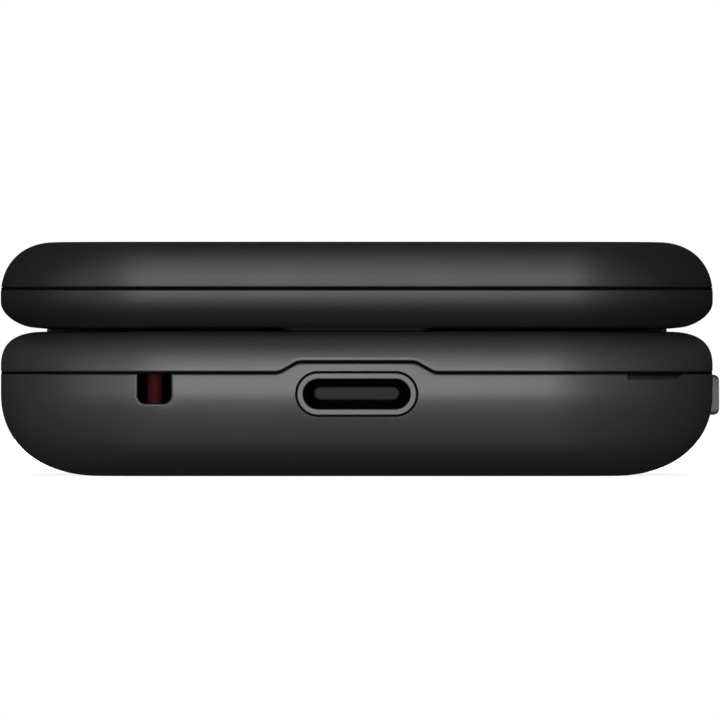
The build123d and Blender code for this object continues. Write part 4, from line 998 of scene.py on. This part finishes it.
# Inner shell: seat of the pane and the opening behind it; screw wells, earpiece slots, pad pocket
carve(bezel_shell, [upwards(softened_cut, *opening(main_size), 0, window_y, floor=main_seat, soften=0.10)])
carve(bezel_shell, [prism(rounded_rectangle(45.0, 66.4, 1.0, 0, window_y), 11.0, 12.9)])
lid_screws = [(side * x, y) for x, y in ((19.6, -47.6), (22.0, 36.6)) for side in (-1, 1)]
carve(bezel_shell,
      [upwards(round_cut, 1.95, x, y, floor=12.05) for x, y in lid_screws]
      + [upwards(softened_cut, 1.5, 0.7, 0.34, i * 2.3, -47.2, floor=12.9) for i in (-2, -1, 0, 1, 2)]
      + [upwards(softened_cut, 11.3, 2.3, 1.14, 0, -49.9, floor=11.95)])
# Outer shell: seats of the outer pane and the camera's glass, the openings behind them, and the flash
carve(lid_shell, [softened_cut(*opening(sub_size), 0, sub_y, sub_seat, lid_top, 0.08),
                  round_cut(4.3, 0, camera_y, sub_seat, lid_top, 0.08)])
carve(lid_shell, [prism(rounded_rectangle(30.4, 36.4, 2.0, 0, sub_y), lid_inside, 18.0),
                  prism(circle(3.2, 0, camera_y), lid_inside, 18.0),
                  round_cut(1.8, flash_x, camera_y, lid_inside, lid_top, 0.08)])


def printed_glass(name, half_x, half_y, centre_y, border, screen):
    """Hardened glass, printed black from behind round a rectangular screen that is switched off; its
    gloss is uneven from fingers. The screen is where |x| and |y - centre_y| are both small enough."""
    material, tree = blank_material(name)
    place = add(tree, "ShaderNodeTexCoord").outputs["Object"]
    axes = add(tree, "ShaderNodeSeparateXYZ", Vector=place)
    shifted = add(tree, "ShaderNodeMath", {"operation": "SUBTRACT", 1: centre_y * MM}, i0=axes.outputs["Y"])
    inside = []
    for output, half in ((axes.outputs["X"], half_x), (shifted.outputs[0], half_y)):
        size = add(tree, "ShaderNodeMath", {"operation": "ABSOLUTE"}, i0=output)
        inside.append(add(tree, "ShaderNodeMath", {"operation": "LESS_THAN", 1: half * MM}, i0=size.outputs[0]))
    mask = add(tree, "ShaderNodeMath", {"operation": "MULTIPLY"}, i0=inside[0].outputs[0], i1=inside[1].outputs[0])
    tone = blend(tree, mask.outputs[0], linear(border), linear(screen))
    gloss = spanned(tree, noise(tree, 14, 5.0, place, 0.6), 0.03, 0.09, 0.35, 0.75)
    surface(tree, add(tree, "ShaderNodeBsdfPrincipled", {"IOR": 1.52}, Base_Color=tone, Roughness=gloss))
    return material


def pane(name, size, y, low, high, material):
    """Glass plate of the lid whose outer edge is bevelled; low is its inner face and high its outer one."""
    bevel = 0.12
    part = bevel / abs(high - low)
    rows = ((0, 0.0), (0, 1 - part), (bevel * 0.35, 1 - 0.35 * part), (bevel, 1.0))
    form = layered(*size, 0, y, [(inset, low + (high - low) * share) for inset, share in rows], steps=12)
    return new_object(name, *form, "lid", material, "dark_glass", smooth=25)


main_glass = printed_glass("hardened_glass_main", 21.4, 28.6, window_y, "#030304", "#0c0e11")
sub_glass = printed_glass("hardened_glass_outer", 13.6, 13.6, sub_y + 1.5, "#030304", "#0b0d10")
main_pane = pane("main_window_pane", main_size, window_y, main_seat, 11.57, main_glass)
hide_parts("main_window")
sub_pane = pane("sub_window_pane", sub_size, sub_y, sub_seat, lid_top, sub_glass)
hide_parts("sub_window")


def clear(name, colour, roughness):
    """Clear moulded acrylic, seen through; very faint unevenness in its gloss."""
    material, tree = blank_material(name)
    place = add(tree, "ShaderNodeTexCoord").outputs["Object"]
    gloss = spanned(tree, noise(tree, 3, 4.0, place), roughness, roughness + 0.05)
    surface(tree, add(tree, "ShaderNodeBsdfPrincipled", {"Base Color": linear(colour), "IOR": 1.49,
                                                         "Transmission Weight": 1.0}, Roughness=gloss))
    return material


# Frosted acrylic over the flash: warm white, blurs the phosphor under it
flash_plastic = clear("flash_fresnel_plastic", "#f3ecd2", 0.15)

# Camera: printed ring of glass flush with the lid, steel ring, stepped barrel and domed front lens
glass_profile = ((2.0, 17.28), (4.2, 17.28), (4.2, 17.93), (4.16, 18.01), (4.08, 18.05), (2.12, 18.05),
                 (2.03, 18.01), (2.0, 17.93), (2.0, 17.28))
camera_glass = turned_piece("camera_cover", glass_profile, 0, camera_y, "lid", black_glass, "clear_lens", 96, 35)
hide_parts("camera_window")
trim_profile = ((1.72, 17.2), (1.72, 17.86), (1.78, 17.95), (1.9, 17.98), (1.97, 17.95), (1.97, 17.2), (1.72, 17.2))
turned_piece("camera_trim_ring", trim_profile, 0, camera_y, "lid", dark_steel, "steel")
barrel_profile = ((1.35, 16.8), (1.35, 17.18), (1.5, 17.26), (1.5, 17.44), (1.66, 17.52), (1.71, 17.52),
                  (1.71, 16.8), (1.35, 16.8))
turned_piece("camera_barrel", barrel_profile, 0, camera_y, "lid", anodised_black, "inner_plastic")
lens_radius, lens_top = 2.6, 17.36
lens_profile = [(lens_radius * sin(t), lens_top - lens_radius * (1 - cos(t))) for t in np.linspace(0, 0.54, 10)]
lens_profile += [(1.34, 16.8), (0, 16.8)]
turned_piece("camera_front_lens", lens_profile, 0, camera_y, "lid", coated_lens, "clear_lens")

# Flash: saw-tooth rings 0.28 mm apart in the top of the lens, and the emitter under it
ripple = [(r, 18.03 - 0.10 * ((r / 0.28) % 1.0)) for r in np.linspace(0.02, 1.40, 60)]
flash_profile = [(0, 17.2), (1.7, 17.2), (1.7, 17.95), (1.64, 18.03), (1.5, 18.05), *ripple[::-1], (0, 18.03)]
flash = turned_piece("flash_fresnel", flash_profile, flash_x, camera_y, "lid", flash_plastic, "clear_lens", smooth=20)
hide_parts("flash_lens")
turned_piece("flash_emitter", ((0, 16.5), (1.6, 16.5), (1.6, 16.9), (0, 16.9)), flash_x, camera_y, "lid", phosphor,
             "film")


# ---------------------------------------------------------------- volume rocker
rocker_y, rocker_z, rocker_length, rocker_height = 7.0, 6.24, 22.0, 3.14
# Rings at X, from the back to the face, each smaller by an inset along the key and one across it
rings = []
for x, along, across in ((25.55, 0.0, 0.0), (27.95, 0.0, 0.0), (28.11, 0.002, 0.03), (28.25, 0.005, 0.12),
                         (28.35, 0.01, 0.25), (28.38, 0.015, 0.40)):
    outline = rounded_rectangle(rocker_length - 2 * along, rocker_height - 2 * across, 0.30, rocker_y, rocker_z)
    rings.append(np.insert(outline, 0, x, 1))
rocker = new_object("volume_key", *loft(rings), "volume_rocker", side_plastic, "side_key", smooth=50)
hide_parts("volume_rocker")


# ---------------------------------------------------------------- battery and its label
wrap = layered(40, 54, 2.0, 0, -8, ((0.5, 1.30), (0.15, 1.36), (0.0, 1.55), (0.0, 5.75), (0.15, 5.94), (0.5, 6.0)))
battery_pack = new_object("battery_pack", *wrap, "base", black_wrap, "battery_wrap", smooth=50)
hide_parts("battery")
new_object("battery_label", *prism(rounded_rectangle(34, 40, 1.0, 0, -6), 1.27, 1.305), "base", label_paper, "film",
           smooth=30)
lines = (("Li-ion", 4.6, 0, 3.0), ("3.7 V  1500 mAh", 3.0, 0, -2.4), ("5.55 Wh", 3.0, 0, -6.8), ("+", 5.0, -11, 9.5),
         ("-", 5.0, 11, 9.5))
texts = [lettering(text, size, x, y, 1.26, flip=True) for text, size, x, y in lines]
texts += [prism(rounded_rectangle(28 - 3 * (i % 3), 0.45, 0.1, 0, -11.5 - 1.5 * i, 3), 1.25, 1.275) for i in range(6)]
printed("battery_label_print", texts, "base", label_ink, "film")


# ---------------------------------------------------------------- finishes of the solids that stay
def dress(node, material):
    """Gives a solid its finish through its own material slots."""
    thing = nodes[node]
    if not thing.material_slots:
        thing.data.materials.append(None)
    for slot in thing.material_slots:
        slot.material = material


def circuit(name, mask, copper):
    """Solder-masked board: a matt coat over copper tracks that run along the board in two directions,
    0.7 mm apart, as a brick pattern of 6 mm units."""
    material, tree = blank_material(name)
    place = add(tree, "ShaderNodeTexCoord").outputs["Object"]
    tracks = add(tree, "ShaderNodeTexBrick", {"Scale": 1 / (6 * MM), "Mortar Size": 0.02, "Brick Width": 0.7,
                                              "Row Height": 0.12, "Color1": linear(mask), "Color2": linear(mask),
                                              "Mortar": linear(copper)}, Vector=place)
    surface(tree, add(tree, "ShaderNodeBsdfPrincipled", {"Roughness": 0.4, "IOR": 1.5},
                      Base_Color=tracks.outputs["Color"]))
    return material


# Epoxy-glass board under solder mask: dark green, with paler lines where copper lies under it
board = circuit("solder_mask_green", "#12412a", "#2c6b45")
finishes = {
    board: ("main_board", "volume_switch", "lid_board"), film: ("dome_sheet",),
    rubber: ("lid_bumper", "keypad_mat"),
    steel: ("shield_cans", "sim_socket", "hinge_can", "hinge_spring", "lid_frame", "vibration_motor", "earpiece"),
    dark_steel: ("housing_screws", "lid_screws", "hinge_shaft", "hinge_follower"), brass: ("hinge_bush",),
    inner_plastic: ("audio_jack", "battery_connector", "loudspeaker", "camera_module"),
    polyimide: ("hinge_flex",), main_glass: ("main_display", "sub_display"), lid_plastic: ("lid_screw_caps",),
}
for material, names in finishes.items():
    for node in names:
        dress(node, material)


# ---------------------------------------------------------------- replaced solids
even_normals(lid_shell, bezel_shell, keypad_shell, cover, chassis)
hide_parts("lid_cover")
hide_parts("lid_bezel")
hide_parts("keypad_housing")
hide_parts("battery_cover")


# ---------------------------------------------------------------- camera, lamps and floor
def lamp(name, place, target, size, level, glossy=True):
    """Square soft lamp whose own brightness is level; without glossy it is a plain fill that no
    surface mirrors."""
    data = bpy.data.lights.new(name, "AREA")
    data.shape = "SQUARE"
    data.size = size
    data.energy = level * pi * size ** 2
    thing = in_scene(name, data)
    thing.location = place
    thing.rotation_euler = (Vector(target) - Vector(place)).to_track_quat("-Z", "Y").to_euler()
    thing.visible_camera = False
    thing.visible_glossy = glossy


def panel(name, corners, material):
    """Flat four-cornered stage piece, in metres."""
    mesh = bpy.data.meshes.new(name)
    mesh.from_pydata(corners, [], [(0, 1, 2, 3)])
    mesh.materials.append(material)
    thing = in_scene(name, mesh)
    return thing


def flag(name, corners, level):
    """Dark studio card of a given brightness, which the camera doesn't see and which casts no shadow."""
    material, tree = blank_material(name)
    surface(tree, add(tree, "ShaderNodeEmission", {"Color": (1, 1, 1, 1), "Strength": level}))
    thing = panel(name, corners, material)
    thing.visible_camera = thing.visible_transmission = thing.visible_shadow = False


def background_rays(tree):
    """1 for a ray from the camera, off a glossy surface or through a clear one: such rays see white."""
    ray = add(tree, "ShaderNodeLightPath")
    first = add(tree, "ShaderNodeMath", {"operation": "MAXIMUM"}, i0=ray.outputs["Is Camera Ray"],
                i1=ray.outputs["Is Glossy Ray"])
    return add(tree, "ShaderNodeMath", {"operation": "MAXIMUM"}, i0=first.outputs[0],
               i1=ray.outputs["Is Transmission Ray"])


# Very long lens, level with the port end: the picture is view_width metres wide where Y is view_y
lens, sensor, view_width, view_y = 1600.0, 36.0, 0.05558, -0.041
camera_data = bpy.data.cameras.new("camera")
camera_data.lens, camera_data.sensor_width = lens, sensor
camera_data.clip_start, camera_data.clip_end = 0.05, 20.0
camera = in_scene("camera", camera_data)
camera.location = (0.00025, view_y - view_width * lens / sensor, 0.00896)
camera.rotation_euler = (pi / 2, 0, 0)
bpy.context.scene.camera = camera

# One large soft lamp ahead of the port end, two dim ones beside it, and fill from above and behind
lamp("front_lamp", (-0.03, -1.05, 0.02), (0, -0.05, 0.009), 0.80, 5.8)
lamp("left_lamp", (-0.85, -0.60, 0.05), (0, -0.04, 0.009), 0.70, 1.3)
lamp("right_lamp", (0.85, -0.60, 0.05), (0, -0.04, 0.009), 0.70, 0.5)
lamp("top_fill", (0.0, 0.1, 1.0), (0, 0, 0), 0.9, 3.0, glossy=False)
lamp("back_fill", (0.0, 1.0, 0.5), (0, 0, 0), 0.9, 3.0, glossy=False)


def tent(name, low, high, left, right, back, front, end):
    """Four upright flags of given brightnesses between two heights, and one across their far end."""
    half, closing = 1.3, max(low, high, key=abs)
    corners = [(-half, -half), (half, -half), (half, half), (-half, half)]
    for side, (a, b), level in (("front", (0, 1), front), ("right", (1, 2), right), ("back", (2, 3), back),
                                ("left", (3, 0), left)):
        flag(name + "_" + side, [(*corners[a], low), (*corners[b], low), (*corners[b], high), (*corners[a], high)],
             level)
    flag(name + "_end", [(x, y, closing) for x, y in corners], end)


tent("upper_flag", 0.0, 1.3, left=0.10, right=0.08, back=0.02, front=0.03, end=0.09)
tent("lower_flag", -1.3, 0.0, left=0.05, right=0.04, back=0.01, front=0.02, end=0.01)

world = bpy.data.worlds.new("studio")
bpy.context.scene.world = world
world.use_nodes = True
tree = world.node_tree
tree.nodes.clear()
white = add(tree, "ShaderNodeBackground", {"Color": (1, 1, 1, 1), "Strength": 1.0})
dim = add(tree, "ShaderNodeBackground", {"Color": (1, 1, 1, 1), "Strength": 0.02})
mixed = add(tree, "ShaderNodeMixShader", i0=background_rays(tree).outputs[0], i1=dim.outputs[0],
            i2=white.outputs[0])
add(tree, "ShaderNodeOutputWorld", Surface=mixed.outputs[0])

# Pale floor that shows white and darkens where the phone keeps light off it. It glows a little for
# background rays only, lights nothing, and ends where the lamps' light on it does; the world goes on.
floor_half, floor_z = 1.1, -0.00002
floor_material, tree = blank_material("pale_floor")
paint = add(tree, "ShaderNodeBsdfDiffuse", {"Color": linear("#e8e8e8")})
glow = add(tree, "ShaderNodeEmission", {"Color": (1, 1, 1, 1), "Strength": 0.86})
lit = add(tree, "ShaderNodeAddShader", i0=paint.outputs[0], i1=glow.outputs[0])
surface(tree, add(tree, "ShaderNodeMixShader", i0=background_rays(tree).outputs[0], i1=paint.outputs[0],
                  i2=lit.outputs[0]))
floor = panel("floor", [(x * floor_half, y * floor_half, floor_z) for x, y in ((-1, -1), (1, -1), (1, 1), (-1, 1))],
              floor_material)
floor.visible_glossy = floor.visible_diffuse = floor.visible_shadow = False

bpy.context.scene.view_settings.view_transform = "Standard"
